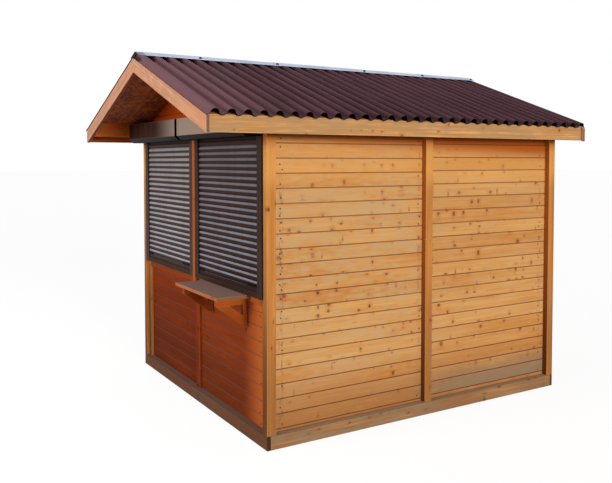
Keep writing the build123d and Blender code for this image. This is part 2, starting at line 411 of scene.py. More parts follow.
@dataclass(frozen=True)
class WoodPattern:
    """The scales, limits and reliefs that all the hut's wood shares."""

    streaks: Drawn = ((2.2, 60.0, 60.0), 3.0)
    drift: Drawn = ((1.6, 9.0, 9.0), 2.0)
    drift_floor: float = 0.28
    fibres: Drawn = ((18.0, 420.0, 420.0), 2.0)
    wander: Drawn = ((1.1, 7.0, 7.0), 2.0)
    wander_reach: float = 0.022
    ring_spacing: float = 0.0046
    ring_sharpness: float = 2.4
    knot_cell: Pair = (0.075, 1.25)
    knot_radii: Pair = (0.08, 0.13)
    knot_core: Pair = (1.1, 0.6)
    knot_halo: Pair = (3.4, 0.9)
    knot_bend: float = 0.009
    core_share: float = 0.9
    halo_share: float = 0.42
    spike_cell: Pair = (0.065, 0.2)
    spike_radii: Pair = (0.05, 0.08)
    spike_core: Pair = (1.3, 0.4)
    spike_depth: float = 0.75
    blotches: Drawn = ((1.7, 1.7, 4.5), 4.0)
    stains: Drawn = ((1.5, 6.0, 6.0), 3.0)
    flecks: Drawn = ((11.0, 45.0, 45.0), 3.0)
    blotch_weight: float = 0.7
    streak_weight: float = 0.45
    weather_floor: float = 0.2
    smudges: Drawn = ((55.0, 55.0, 26.0), 2.0)
    smudge: Pair = (0.45, 0.72)
    smudge_reach: float = 0.024
    grey: Pair = (0.5, 0.95)
    rear: Pair = (-0.1, 0.5)
    foot: Pair = (0.1, 0.8)
    damp: Pair = (0.1, 0.6)
    top: Pair = (0.6, 0.95)
    # Bounds of the masks for painted shade: faces that look down, look in, look forward, and lie away from the
    # front.
    below: Pair = (-0.35, -0.75)
    inward: Pair = (-0.3, -0.9)
    forward: Pair = (-0.5, -0.9)
    lee: Pair = (-0.7, -0.4)
    ring_relief: float = 0.5
    fibre_relief: float = 0.6
    knot_relief: float = 0.4
    streak_gloss: float = 0.3
    relief: Pair = (0.35, 0.0006)


WOOD = WoodPattern()


@dataclass(frozen=True)
class PineFinish(Finish):
    """Softwood whose rings, streaks and knots follow each timber's own fibres.

    The mesh keeps each point's place along the fibres and from the heart of the tree in "grain",
    a value for the whole timber in "tone", the way to its ends in "from_start" and "from_end", its rounded
    edges in "worn_edge" and its ends in "cut_end".
    """

    pale: Colour
    deep: Colour
    ring: Colour
    knot: Colour
    grey: Colour
    edge: Colour
    end: Colour = screen_colour(96, 58, 34)
    # eave: a redder stain with painted shade, in the band just under the eave.
    eave: Colour = screen_colour(160, 72, 8)
    foot: Colour = screen_colour(150, 98, 56)
    # front: painted shade on faces that look forward, deepening toward the foot.
    front: Colour = screen_colour(98, 54, 28)
    # faded: a tint toward the right; on the front boards and rail it is painted light, a paler right-hand end.
    faded: Colour = screen_colour(200, 104, 46)
    top: Colour = screen_colour(174, 150, 124)
    # under: painted shade on faces that look down or in toward the middle.
    under: Colour = screen_colour(160, 66, 20)
    damp: Colour = screen_colour(132, 114, 92)
    # lee: painted shade on forward-looking faces away from the front, such as the sides of the posts.
    lee: Colour = screen_colour(177, 96, 32)
    # kept: a golden band below the eave, partly less weathered wood and partly painted light that offsets the
    # overhang's shade.
    kept: Colour = screen_colour(226, 162, 88)
    stain: Colour = screen_colour(108, 82, 62)
    edge_share: float = 0.35
    grey_share: float = 0.25
    grey_back_share: float = 1.0
    grey_start: float = -2.0
    grey_end: float = -1.0
    top_share: float = 0.0
    under_share: float = 0.0
    lee_share: float = 0.0
    damp_share: float = 0.0
    damp_start: float = 0.34
    damp_end: float = 0.12
    damp_floor: float = 0.108
    kept_share: float = 0.0
    kept_start: float = 1.45
    kept_end: float = 1.62
    start_stain_share: float = 0.0
    end_stain_share: float = 0.0
    end_share: float = 0.85
    eave_share: float = 0.0
    eave_start: float = 1.7
    eave_end: float = 1.82
    eave_lean: float = 0.0
    foot_share: float = 0.0
    foot_start: float = 0.45
    foot_end: float = 0.11
    front_share: float = 0.0
    front_start: float = 1.5
    front_end: float = 0.1
    faded_share: float = 0.0
    faded_start: float = 0.66
    faded_end: float = 0.95
    tone_share: float = 0.8
    roughness: float = 0.6
    specular: float = 0.04
    ring_share: float = 0.28
    streak_share: float = 1.0
    blotch_share: float = 1.0
    fleck_share: float = 0.0
    spike_share: float = 0.0
    knot_share: float = 0.17

    def _make(self) -> bpy.types.Material:
        """Draws the nodes of the wood.

        Returns:
            The finished material.
        """
        sheet = NodeSheet(self.name)
        grain = sheet.attribute("grain", "Vector")
        core, halo = self._knots(sheet, grain)
        late = self._rings(sheet, grain, halo)
        streaks = sheet.drawn_noise(grain, *WOOD.streaks)
        drift = sheet.drawn_noise(grain, *WOOD.drift)
        fibres = sheet.drawn_noise(grain, *WOOD.fibres)

        depth = sheet.times(sheet.attribute("tone"), self.tone_share)
        depth = sheet.plus(depth, sheet.swing(streaks, self.streak_share))
        depth = sheet.math("ADD", depth, sheet.minus(drift, WOOD.drift_floor), clamp=True)
        colour = sheet.mix(depth, self.pale, self.deep)
        colour = sheet.lay(colour, late, self.ring_share, self.ring)
        colour = sheet.lay(colour, halo, WOOD.halo_share, self.ring)
        colour = sheet.lay(colour, core, WOOD.core_share, self.knot)
        colour = self._age(sheet, colour, self._weather(sheet, grain, streaks))
        colour = self._rust(sheet, colour)

        height = sheet.plus(sheet.times(late, WOOD.ring_relief), sheet.times(fibres, WOOD.fibre_relief))
        height = sheet.minus(height, sheet.times(core, WOOD.knot_relief))
        roughness = sheet.plus(sheet.swing(streaks, WOOD.streak_gloss), self.roughness)
        relief = sheet.bump(height, *WOOD.relief)
        return sheet.surface(colour, roughness, relief, Specular_IOR_Level=self.specular)

    def _knots(self, sheet: NodeSheet, grain: Socket) -> tuple[Socket, Socket]:
        """Branches that cut the surface as knots, or lie across the grain where they are sawn lengthwise.

        Args:
            sheet: The material's sheet.
            grain: The place in the timber.

        Returns:
            The knots themselves, and the bent wood around them.
        """
        along, across, depth = sheet.split(grain)
        bearing = sheet.math("ARCTAN2", across, depth)
        knots = self._marks(sheet, (along, bearing), WOOD.knot_cell, WOOD.knot_radii, self.knot_share)
        core = sheet.times(sheet.fade(knots[0], *WOOD.knot_core), knots[1])
        halo = sheet.times(sheet.fade(knots[0], *WOOD.knot_halo), knots[1])
        if self.spike_share:
            place = (along, across)
            spikes = self._marks(sheet, place, WOOD.spike_cell, WOOD.spike_radii, self.spike_share)
            spike = sheet.times(sheet.fade(spikes[0], *WOOD.spike_core), spikes[1])
            core = sheet.math("MAXIMUM", core, sheet.times(spike, WOOD.spike_depth))
        return core, halo

    def _marks(
        self, sheet: NodeSheet, place: tuple[Socket, Socket], cell: Pair, radii: Pair, share: float,
    ) -> tuple[Socket, Socket]:
        """Scatters round marks, one to a cell, and keeps a share of them.

        Args:
            sheet: The material's sheet.
            place: The place along the timber and beside it.
            cell: The cell's size along the timber and beside it.
            radii: The least radius of a mark, and the most that is added to it, in cells.
            share: The share of the cells that keep their mark.

        Returns:
            The distance from the mark's middle in its own radii, and 1 where the mark is kept.
        """
        spot = sheet.join(*(sheet.math("DIVIDE", part, size) for part, size in zip(place, cell)))
        reach, (chance, size, _) = sheet.cells(spot, flat=True)
        radius = sheet.plus(sheet.times(size, radii[1]), radii[0])
        return sheet.math("DIVIDE", reach, radius), sheet.math("GREATER_THAN", chance, 1 - share)

    def _rings(self, sheet: NodeSheet, grain: Socket, halo: Socket) -> Socket:
        """The dark late wood of each year's ring.

        Args:
            sheet: The material's sheet.
            grain: The place in the timber.
            halo: The bent wood around the knots, which the rings go round.

        Returns:
            The late wood, from 0 to 1.
        """
        _, across, depth = sheet.split(grain)
        squares = sheet.plus(sheet.times(across, across), sheet.times(depth, depth))
        wander = sheet.drawn_noise(grain, *WOOD.wander)
        radius = sheet.plus(sheet.math("SQRT", squares), sheet.times(wander, WOOD.wander_reach))
        radius = sheet.plus(radius, sheet.times(halo, WOOD.knot_bend))
        phase = sheet.math("FRACT", sheet.math("DIVIDE", radius, WOOD.ring_spacing))
        return sheet.math("POWER", phase, WOOD.ring_sharpness)

    def _weather(self, sheet: NodeSheet, grain: Socket, streaks: Socket) -> Socket:
        """Where the weather has worked most, over the whole wall and along each timber.

        Args:
            sheet: The material's sheet.
            grain: The place in the timber.
            streaks: The wood's streaks, which the weather follows.

        Returns:
            The weather, about 0.7.
        """
        blotches = sheet.drawn_noise(sheet.place(), *WOOD.blotches)
        blotches = sheet.plus(sheet.swing(blotches, self.blotch_share), sheet.noise_middle)
        both = sheet.plus(blotches, sheet.drawn_noise(grain, *WOOD.stains))
        both = sheet.plus(sheet.times(both, WOOD.blotch_weight), sheet.times(streaks, WOOD.streak_weight))
        flecks = sheet.swing(sheet.drawn_noise(grain, *WOOD.flecks), self.fleck_share)
        return sheet.plus(sheet.minus(both, WOOD.weather_floor), flecks)

    def _rust(self, sheet: NodeSheet, colour: Feed) -> Feed:
        """Draws the dark stains that iron leaves along the rows of nails, in boards that have them.

        Args:
            sheet: The material's sheet.
            colour: The wood's colour.

        Returns:
            The stained colour.
        """
        place = sheet.place()
        smudge = sheet.fade(sheet.drawn_noise(place, *WOOD.smudges), *WOOD.smudge)
        smudge = sheet.times(smudge, sheet.fade(sheet.split(place)[2], self.kept_end, self.kept_start))
        for end, share in (("from_start", self.start_stain_share), ("from_end", self.end_stain_share)):
            away = sheet.math("ABSOLUTE", sheet.minus(sheet.attribute(end), NAIL_INSET))
            row = sheet.times(sheet.fade(away, WOOD.smudge_reach, 0.0), smudge)
            colour = sheet.lay(colour, row, share, self.stain)
        return colour

    def _age(self, sheet: NodeSheet, colour: Feed, patch: Socket) -> Feed:
        """Lays the marks of age, and painted light and shade, over the wood, one after another.

        The wood greys in patches and on top, darkens at its foot and ends, takes up damp at the back, and wears
        at its edges. Painted shade darkens its forward-looking faces, its undersides and inner faces, and, with
        a redder stain, the band just under the eave. The golden band below that is partly less weathered wood
        and partly painted light, and the tint toward the right is painted light on the front boards and rail.

        Args:
            sheet: The material's sheet.
            colour: The wood's colour.
            patch: Where the weather has worked most.

        Returns:
            The aged colour.
        """
        right, back, height = sheet.split(sheet.place())
        rightward, backward, upward = sheet.facing()
        rear = sheet.fade(back, *WOOD.rear)
        grey = sheet.fade(height, self.grey_start, self.grey_end)
        grey = sheet.times(grey, sheet.fade(patch, *WOOD.grey))
        grey = sheet.times(grey, sheet.minus(1.0, sheet.times(rear, 1.0 - self.grey_back_share)))
        foot = sheet.fade(height, self.foot_start, self.foot_end)
        foot = sheet.times(foot, sheet.fade(patch, *WOOD.foot))
        damp = sheet.fade(height, self.damp_start, self.damp_end)
        damp = sheet.times(damp, sheet.fade(patch, *WOOD.damp))
        damp = sheet.times(sheet.times(damp, rear), sheet.math("GREATER_THAN", height, self.damp_floor))
        level = sheet.plus(height, sheet.times(back, self.eave_lean))
        # Masks of painted shade: undersides and inner faces, and forward-looking faces.
        inward = sheet.fade(sheet.times(rightward, right), *WOOD.inward)
        below = sheet.math("MAXIMUM", sheet.fade(upward, *WOOD.below), inward)
        forward = sheet.fade(backward, *WOOD.forward)
        front = sheet.times(sheet.fade(height, self.front_start, self.front_end), forward)
        layers = (
            (grey, self.grey_share, self.grey),
            (foot, self.foot_share, self.foot),
            (damp, self.damp_share, self.damp),
            # Tint toward the right: painted light on the front boards and rail.
            (sheet.fade(right, self.faded_start, self.faded_end), self.faded_share, self.faded),
            # Golden band below the eave: less weathered wood and painted light.
            (sheet.fade(height, self.kept_start, self.kept_end), self.kept_share, self.kept),
            # Redder stain and painted shade just under the eave.
            (sheet.fade(level, self.eave_start, self.eave_end), self.eave_share, self.eave),
            (sheet.fade(upward, *WOOD.top), self.top_share, self.top),
            # Painted shade on undersides and inner faces.
            (below, self.under_share, self.under),
            # Painted shade on forward-looking faces away from the front.
            (sheet.times(forward, sheet.fade(back, *WOOD.lee)), self.lee_share, self.lee),
            # Painted shade on forward-looking faces, deeper toward the foot.
            (front, self.front_share, self.front),
            (sheet.attribute("cut_end"), self.end_share, self.end),
            (sheet.attribute("worn_edge"), self.edge_share, self.edge),
        )
        for amount, share, over in layers:
            colour = sheet.lay(colour, amount, share, over)
        return colour


@dataclass(frozen=True)
class StrandBoardFinish(Finish):
    """Pressed board of long wood strands that lie every way."""

    pale: Colour
    deep: Colour
    strand_length: float = 0.085
    strand_width: float = 0.018
    strand_depth: float = 0.25
    turns: tuple[float, ...] = (12.0, 74.0, -38.0)
    hidden_share: float = 0.55
    dirt: Pair = (3.0, 3.0)
    contrast: float = 0.9
    fibres: Drawn = ((60.0, 300.0, 60.0), 2.0)
    fibre_relief: float = 0.3
    relief: Pair = (0.4, 0.0008)
    roughness: float = 0.7
    specular: float = 0.25

    def _make(self) -> bpy.types.Material:
        """Lays strands in three directions and lets them show in turn.

        Returns:
            The finished material.
        """
        sheet = NodeSheet(self.name)
        place = sheet.place()
        scales = (1 / self.strand_length, 1 / self.strand_width, 1 / self.strand_depth)
        layers = [sheet.cells(sheet.stretch(place, scales, turn)) for turn in self.turns]
        _, (shade, pick, _) = layers[0]
        for _, (strand, _, _) in layers[1:]:
            shows = sheet.math("GREATER_THAN", pick, self.hidden_share)
            shade = sheet.mix(shows, shade, strand)
            pick = strand
        dirt = sheet.minus(sheet.noise(place, *self.dirt), sheet.noise_middle)
        soiled = sheet.plus(shade, dirt)
        tint = sheet.math("MULTIPLY", soiled, self.contrast, clamp=True)
        colour = sheet.mix(tint, self.deep, self.pale)
        fibres = sheet.drawn_noise(place, *self.fibres, turn=self.turns[0])
        height = sheet.plus(shade, sheet.times(fibres, self.fibre_relief))
        relief = sheet.bump(height, *self.relief)
        return sheet.surface(colour, self.roughness, relief, Specular_IOR_Level=self.specular)


@dataclass(frozen=True)
class RoofSheetFinish(Finish):
    """Matt pressed-fibre roof sheet, faded a little and grainy to the touch."""

    body: Colour
    faded: Colour
    dust: Colour
    # under: painted shade, on undersides and in the troughs just outside the ridge cap.
    under: Colour
    # front: painted light, paler toward the front end.
    front: Colour
    front_start: float = -0.85
    front_end: float = -1.4
    front_share: float = 0.75
    # Painted shade in the troughs just outside the ridge cap.
    soot_start: float = 0.14
    soot_end: float = 0.1
    soot_share: float = 0.9
    crest: float = 2.385
    trough: float = 2.36
    slope: float = 0.3654
    patches: Pair = (1.6, 3.0)
    runs: Drawn = ((1.5, 28.0, 1.5), 3.0)
    faded_span: Pair = (0.75, 1.3)
    faded_share: float = 0.8
    grain: Pair = (260.0, 2.0)
    dust_span: Pair = (0.52, 0.75)
    dust_share: float = 0.22
    under_span: Pair = (0.1, -0.1)
    relief: Pair = (0.3, 0.0007)
    roughness: float = 0.52
    patch_gloss: float = 0.2
    specular: float = 0.06

    def _make(self) -> bpy.types.Material:
        """Draws faded patches, rain runs down the slope, painted shade in the troughs by the ridge and below,
        painted light toward the front, and a fine grain.

        Returns:
            The finished material.
        """
        sheet = NodeSheet(self.name)
        place = sheet.place()
        right, back, height = sheet.split(place)
        patches = sheet.noise(place, *self.patches)
        grain = sheet.noise(place, *self.grain)
        worn = sheet.plus(patches, sheet.drawn_noise(place, *self.runs))
        colour = sheet.lay(self.body, sheet.fade(worn, *self.faded_span), self.faded_share, self.faded)
        colour = sheet.lay(colour, sheet.fade(grain, *self.dust_span), self.dust_share, self.dust)
        # Painted light: paler toward the front.
        front = sheet.fade(back, self.front_start, self.front_end)
        colour = sheet.lay(colour, front, self.front_share, self.front)
        # Painted shade in the troughs under the edge of the ridge cap.
        away = sheet.math("ABSOLUTE", right)
        level = sheet.plus(height, sheet.times(away, self.slope))
        cap_shade = sheet.times(
            sheet.fade(away, self.soot_start, self.soot_end), sheet.fade(level, self.crest, self.trough))
        colour = sheet.lay(colour, cap_shade, self.soot_share, self.under)
        # Painted shade on faces that look down.
        colour = sheet.mix(sheet.fade(sheet.facing()[2], *self.under_span), colour, self.under)
        roughness = sheet.plus(sheet.times(patches, self.patch_gloss), self.roughness)
        return sheet.surface(
            colour, roughness, sheet.bump(grain, *self.relief), Specular_IOR_Level=self.specular)


@dataclass(frozen=True)
class MetalFinish(Finish):
    """Bare or zinc-coated sheet metal with a faint crystal pattern and dull patches."""

    bright: Colour
    dull: Colour
    metallic: float = 0.8
    roughness: float = 0.28
    specular: float = 0.5
    crystal: float = 0.012
    crystal_share: float = 0.35
    crystal_gloss: float = 0.16
    patches: Pair = (5.0, 4.0)
    patch_span: Pair = (0.4, 0.72)
    patch_share: float = 0.6
    patch_gloss: float = 0.12
    relief: Pair = (0.08, 0.0003)

    def _make(self) -> bpy.types.Material:
        """Draws the crystals and the dull patches.

        Returns:
            The finished material.
        """
        sheet = NodeSheet(self.name)
        place = sheet.place()
        size = 1 / self.crystal
        _, (tint, turn, _) = sheet.cells(sheet.stretch(place, (size, size, size)))
        patches = sheet.fade(sheet.noise(place, *self.patches), *self.patch_span)
        crystals = sheet.times(tint, self.crystal_share)
        dulled = sheet.math("ADD", crystals, sheet.times(patches, self.patch_share), clamp=True)
        colour = sheet.mix(dulled, self.bright, self.dull)
        roughness = sheet.plus(sheet.times(turn, self.crystal_gloss), self.roughness)
        roughness = sheet.plus(roughness, sheet.times(patches, self.patch_gloss))
        relief = sheet.bump(tint, *self.relief)
        return sheet.surface(
            colour, roughness, relief, Metallic=self.metallic, Specular_IOR_Level=self.specular)


@dataclass(frozen=True)
class PaintFinish(Finish):
    """Dusty factory paint on thin metal; painted reflection above, painted shade below and at the ends, painted
    light to the right.
    """

    coat: Colour
    dust: Colour
    # sheen: painted reflection on faces that look up, changing with height and gone just under the box.
    sheen: Colour
    # under: painted shade on faces that look down.
    under: Colour
    # faded: painted light, a paler colour toward the right.
    faded: Colour = screen_colour(150, 129, 115)
    sheen_start: float = -0.06
    sheen_end: float = 0.22
    sheen_climb: float = 0.0
    sheen_foot: float = 0.95
    sheen_head: float = 1.75
    high_sheen: Colour = screen_colour(107, 102, 106)
    high_share: float = 0.0
    # end: near-black faces that look sideways, dark end caps that also stand for the shade in the gap between
    # boxes.
    end: Colour = screen_colour(12, 8, 9)
    end_share: float = 0.0
    end_span: Pair = (0.3, 0.7)
    under_span: Pair = (-0.3, -0.7)
    shade_start: float = 3.0
    shade_end: float = 3.1
    faded_start: float = -0.45
    faded_end: float = 0.13
    faded_share: float = 0.0
    runs: Drawn = ((16.0, 16.0, 2.2), 4.0)
    clouds: Pair = (4.5, 3.0)
    dust_span: Pair = (0.8, 1.3)
    dust_share: float = 0.2
    dust_gloss: float = 0.5
    worn_share: float = 0.3
    peel: Pair = (340.0, 1.0)
    relief: Pair = (0.12, 0.0003)
    roughness: float = 0.45
    specular: float = 0.02

    def _make(self) -> bpy.types.Material:
        """Draws the coat with painted reflection, shade and light, its orange-peel relief and the dust that rain
        leaves.

        Returns:
            The finished material.
        """
        sheet = NodeSheet(self.name)
        place = sheet.place()
        across, _, height = sheet.split(place)
        rightward, _, upward = sheet.facing()
        # Painted light: paler toward the right.
        faded = sheet.fade(across, self.faded_start, self.faded_end)
        colour = sheet.lay(self.coat, faded, self.faded_share, self.faded)
        # Painted reflection on faces that look up, wider higher up and gone just under the box.
        climb = sheet.times(sheet.minus(height, self.sheen_foot), self.sheen_climb)
        lit = sheet.fade(sheet.plus(upward, climb), self.sheen_start, self.sheen_end)
        lit = sheet.times(lit, sheet.fade(height, self.shade_end, self.shade_start))
        high = sheet.fade(height, self.sheen_foot, self.sheen_head)
        colour = sheet.mix(lit, colour, sheet.lay(self.sheen, high, self.high_share, self.high_sheen))
        clouds = sheet.plus(sheet.drawn_noise(place, *self.runs), sheet.noise(place, *self.clouds))
        dusty = sheet.times(sheet.fade(clouds, *self.dust_span), self.dust_share)
        worn = sheet.times(sheet.attribute("worn_edge"), self.worn_share)
        colour = sheet.mix(sheet.math("MAXIMUM", dusty, worn), colour, self.dust)
        # Painted shade below and, where set, on the ends.
        colour = sheet.mix(sheet.fade(upward, *self.under_span), colour, self.under)
        ends = sheet.fade(sheet.math("ABSOLUTE", rightward), *self.end_span)
        colour = sheet.lay(colour, ends, self.end_share, self.end)
        roughness = sheet.plus(sheet.times(dusty, self.dust_gloss), self.roughness)
        relief = sheet.bump(sheet.noise(place, *self.peel), *self.relief)
        return sheet.surface(colour, roughness, relief, Specular_IOR_Level=self.specular)


# The band under the eave is a redder stain with painted shade; the golden band below it is partly painted light.
SIDE_PINE = PineFinish(
    "side_boards_pine",
    pale=screen_colour(210, 157, 93),
    deep=screen_colour(187, 123, 61),
    ring=screen_colour(172, 98, 40),
    knot=screen_colour(118, 54, 24),
    grey=screen_colour(191, 155, 110),
    edge=screen_colour(120, 62, 24),
    edge_share=0.7,
    grey_share=0.75,
    foot_share=0.8,
    eave_share=0.92,
    grey_back_share=0.45,
    tone_share=0.7,
    eave_lean=0.045,
    streak_share=1.8,
    knot_share=0.27,
    kept_share=0.42,
    start_stain_share=0.7,
    end_stain_share=0.35,
    grey_start=-0.35,
    grey_end=0.7,
    fleck_share=0.75,
    spike_share=0.13,
    blotch_share=0.5,
    damp_share=0.75,
)
# The paler right-hand end is painted light.
FRONT_PINE = PineFinish(
    "front_boards_pine",
    pale=screen_colour(164, 72, 26),
    deep=screen_colour(136, 56, 20),
    ring=screen_colour(112, 42, 14),
    knot=screen_colour(76, 28, 12),
    grey=screen_colour(112, 50, 24),
    edge=screen_colour(126, 80, 70),
    edge_share=0.6,
    foot=screen_colour(96, 40, 16),
    foot_share=0.7,
    faded_share=0.75,
    ring_share=0.2,
    knot_share=0.1,
    specular=0.02,
    foot_start=0.62,
    foot_end=0.25,
    fleck_share=0.9,
)
# A darker copy for the left half of the low wall: painted shade.
SHADED_LEFT_FRONT_PINE = replace(
    FRONT_PINE,
    name="left_front_boards_pine",
    pale=screen_colour(146, 58, 14),
    deep=screen_colour(118, 42, 9),
    foot=screen_colour(84, 32, 12),
    foot_share=0.68,
)
CENTRE_POST_PINE = replace(
    SHADED_LEFT_FRONT_PINE,
    name="centre_post_pine",
    pale=screen_colour(164, 68, 16),
    deep=screen_colour(136, 52, 11),
    foot=screen_colour(96, 38, 12),
)
# Takes a smaller share of the painted light at the right-hand end.
RAIL_PINE = replace(
    FRONT_PINE,
    name="rail_pine",
    pale=screen_colour(164, 78, 28),
    deep=screen_colour(140, 62, 20),
    faded_share=0.3,
)
# The brace below the arm is darker: painted shade under the arm.
BRACKET_PINE = replace(
    FRONT_PINE,
    name="bracket_pine",
    pale=screen_colour(178, 94, 36),
    deep=screen_colour(160, 80, 28),
    foot=screen_colour(138, 64, 22),
    foot_share=1.0,
    foot_start=0.83,
    foot_end=0.77,
    faded_share=0.0,
    end_share=0.2,
    edge_share=0.2,
)
GABLE_PINE = PineFinish(
    "gable_boards_pine",
    pale=screen_colour(190, 76, 17),
    deep=screen_colour(168, 57, 8),
    ring=screen_colour(170, 62, 14),
    knot=screen_colour(116, 44, 14),
    grey=screen_colour(196, 96, 40),
    edge=screen_colour(140, 54, 16),
    specular=0.02,
)
PLATE_PINE = PineFinish(
    "plate_pine",
    pale=screen_colour(194, 98, 32),
    deep=screen_colour(162, 74, 20),
    ring=screen_colour(158, 72, 22),
    knot=screen_colour(104, 46, 18),
    grey=screen_colour(178, 104, 54),
    edge=screen_colour(196, 108, 42),
    knot_share=0.08,
)
# Painted shade: the band under the eave, forward-looking faces deeper toward the foot, and the forward-looking
# sides of posts away from the front. The golden band below the eave is partly painted light.
FRAME_PINE = PineFinish(
    "frame_timber_pine",
    pale=screen_colour(208, 142, 72),
    deep=screen_colour(182, 110, 46),
    ring=screen_colour(162, 86, 32),
    knot=screen_colour(112, 54, 22),
    grey=screen_colour(178, 130, 82),
    edge=screen_colour(212, 146, 76),
    foot=screen_colour(122, 80, 44),
    grey_share=0.2,
    foot_share=0.62,
    foot_start=1.05,
    front_share=0.9,
    knot_share=0.08,
    foot_end=0.15,
    eave=screen_colour(150, 70, 12),
    eave_share=0.8,
    eave_start=1.72,
    eave_end=1.83,
    ring_share=0.45,
    streak_share=1.8,
    lee_share=0.8,
    kept=screen_colour(224, 160, 84),
    kept_share=0.6,
)
POST_PINE = replace(
    FRAME_PINE,
    name="post_pine",
    pale=screen_colour(197, 132, 68),
    deep=screen_colour(171, 102, 44),
)
BASE_PINE = PineFinish(
    "base_timber_pine",
    pale=screen_colour(194, 146, 96),
    deep=screen_colour(146, 100, 62),
    ring=screen_colour(122, 82, 48),
    knot=screen_colour(84, 50, 28),
    grey=screen_colour(136, 117, 90),
    edge=screen_colour(92, 64, 42),
    end=screen_colour(64, 42, 26),
    edge_share=0.6,
    grey_share=0.7,
    top_share=0.75,
    roughness=0.72,
    knot_share=0.2,
    streak_share=2.0,
    fleck_share=1.2,
    grey_back_share=0.45,
)
FRONT_BASE_PINE = PineFinish(
    "front_base_pine",
    pale=screen_colour(122, 80, 56),
    deep=screen_colour(92, 54, 36),
    ring=screen_colour(78, 44, 28),
    knot=screen_colour(52, 28, 16),
    grey=screen_colour(112, 84, 68),
    edge=screen_colour(54, 34, 22),
    end=screen_colour(46, 30, 20),
    edge_share=0.6,
    top=screen_colour(126, 104, 98),
    grey_share=0.4,
    top_share=0.6,
    roughness=0.72,
)
# Undersides and inner faces take painted shade.
PALE_PINE = PineFinish(
    "eave_boards_pine",
    pale=screen_colour(220, 168, 108),
    deep=screen_colour(178, 122, 70),
    ring=screen_colour(168, 104, 52),
    knot=screen_colour(124, 64, 30),
    grey=screen_colour(170, 134, 94),
    edge=screen_colour(224, 178, 118),
    grey_share=0.7,
    ring_share=0.7,
    knot_share=0.18,
    under_share=0.95,
    streak_share=2.6,
    tone_share=0.6,
    fleck_share=1.6,
)
# Its underside and back edge take painted shade; its right-hand end takes a deeper tint.
BARGE_PINE = PineFinish(
    "barge_boards_pine",
    pale=screen_colour(219, 166, 136),
    deep=screen_colour(196, 134, 98),
    ring=screen_colour(180, 112, 74),
    knot=screen_colour(176, 104, 58),
    grey=screen_colour(178, 130, 102),
    edge=screen_colour(232, 184, 152),
    end=screen_colour(108, 82, 58),
    grey_share=0.65,
    ring_share=0.45,
    knot_share=0.25,
    end_share=0.9,
    faded=screen_colour(208, 142, 102),
    faded_share=0.6,
    faded_start=0.6,
    faded_end=1.25,
    under=screen_colour(120, 54, 32),
    under_share=0.9,
    streak_share=2.2,
    fleck_share=1.6,
)
SHELF_PINE = PineFinish(
    "shelf_pine",
    pale=screen_colour(190, 112, 70),
    deep=screen_colour(166, 92, 54),
    ring=screen_colour(124, 62, 34),
    knot=screen_colour(84, 42, 24),
    grey=screen_colour(150, 98, 70),
    edge=screen_colour(188, 120, 80),
    end=screen_colour(118, 80, 50),
    top=screen_colour(144, 119, 110),
    edge_share=0.25,
    top_share=0.92,
    roughness=0.68,
)
FLOOR_PINE = PineFinish(
    "floor_pine",
    pale=screen_colour(186, 148, 104),
    deep=screen_colour(156, 114, 74),
    ring=screen_colour(132, 90, 54),
    knot=screen_colour(90, 54, 30),
    grey=screen_colour(150, 128, 104),
    edge=screen_colour(110, 78, 50),
    roughness=0.7,
)
STRAND_BOARD = StrandBoardFinish(
    "roof_strand_board",
    pale=screen_colour(190, 100, 42),
    deep=screen_colour(104, 39, 12),
)
# Painted light toward the front and painted shade below and by the ridge.
ROOF_SHEET = RoofSheetFinish(
    "roof_sheet_maroon",
    body=screen_colour(68, 39, 45),
    faded=screen_colour(88, 57, 65),
    dust=screen_colour(116, 86, 94),
    under=screen_colour(14, 10, 10),
    front=screen_colour(117, 81, 86),
)
RIDGE_ZINC = MetalFinish(
    "ridge_zinc",
    bright=screen_colour(176, 188, 211),
    dull=screen_colour(148, 160, 186),
)
FRONT_ZINC = MetalFinish(
    "ridge_end_zinc",
    bright=screen_colour(132, 136, 154),
    dull=screen_colour(104, 108, 126),
    metallic=0.3,
    roughness=0.4,
)
DARK_STEEL = MetalFinish(
    "dark_steel",
    bright=screen_colour(62, 44, 36),
    dull=screen_colour(40, 27, 23),
    metallic=0.3,
    roughness=0.5,
    specular=0.2,
)
BLACK_STEEL = MetalFinish(
    "black_steel",
    bright=screen_colour(30, 21, 20),
    dull=screen_colour(20, 14, 14),
    metallic=0.0,
    roughness=0.6,
    specular=0.02,
)
# A lighter copy for the left shutter: painted reflection, brighter than the right.
LIT_LEFT_SLAT_PAINT = PaintFinish(
    "left_slat_brown",
    coat=screen_colour(62, 44, 40),
    dust=screen_colour(78, 64, 60),
    sheen=screen_colour(164, 163, 171),
    under=screen_colour(26, 19, 18),
    sheen_start=0.05,
    sheen_end=0.31,
    shade_start=1.765,
    shade_end=1.795,
    sheen_climb=0.24,
    high_sheen=screen_colour(150, 146, 147),
    high_share=1.0,
)
# A darker copy for the right shutter: painted shade.
SHADED_RIGHT_SLAT_PAINT = PaintFinish(
    "right_slat_brown",
    coat=screen_colour(52, 33, 29),
    dust=screen_colour(60, 46, 43),
    sheen=screen_colour(136, 137, 148),
    under=screen_colour(20, 14, 14),
    sheen_start=0.1,
    sheen_end=0.34,
    shade_start=1.765,
    shade_end=1.795,
    sheen_climb=0.22,
    high_share=1.0,
)
FRAME_PAINT = PaintFinish(
    "shutter_frame_brown",
    coat=screen_colour(52, 33, 27),
    dust=screen_colour(70, 54, 48),
    sheen=screen_colour(60, 42, 36),
    under=screen_colour(22, 16, 15),
)
# Paler than the frame paint: painted light on the guides' faces.
GUIDE_PAINT = replace(
    FRAME_PAINT,
    name="shutter_guide_brown",
    coat=screen_colour(66, 50, 45),
    dust=screen_colour(92, 80, 74),
    sheen=screen_colour(74, 58, 52),
)
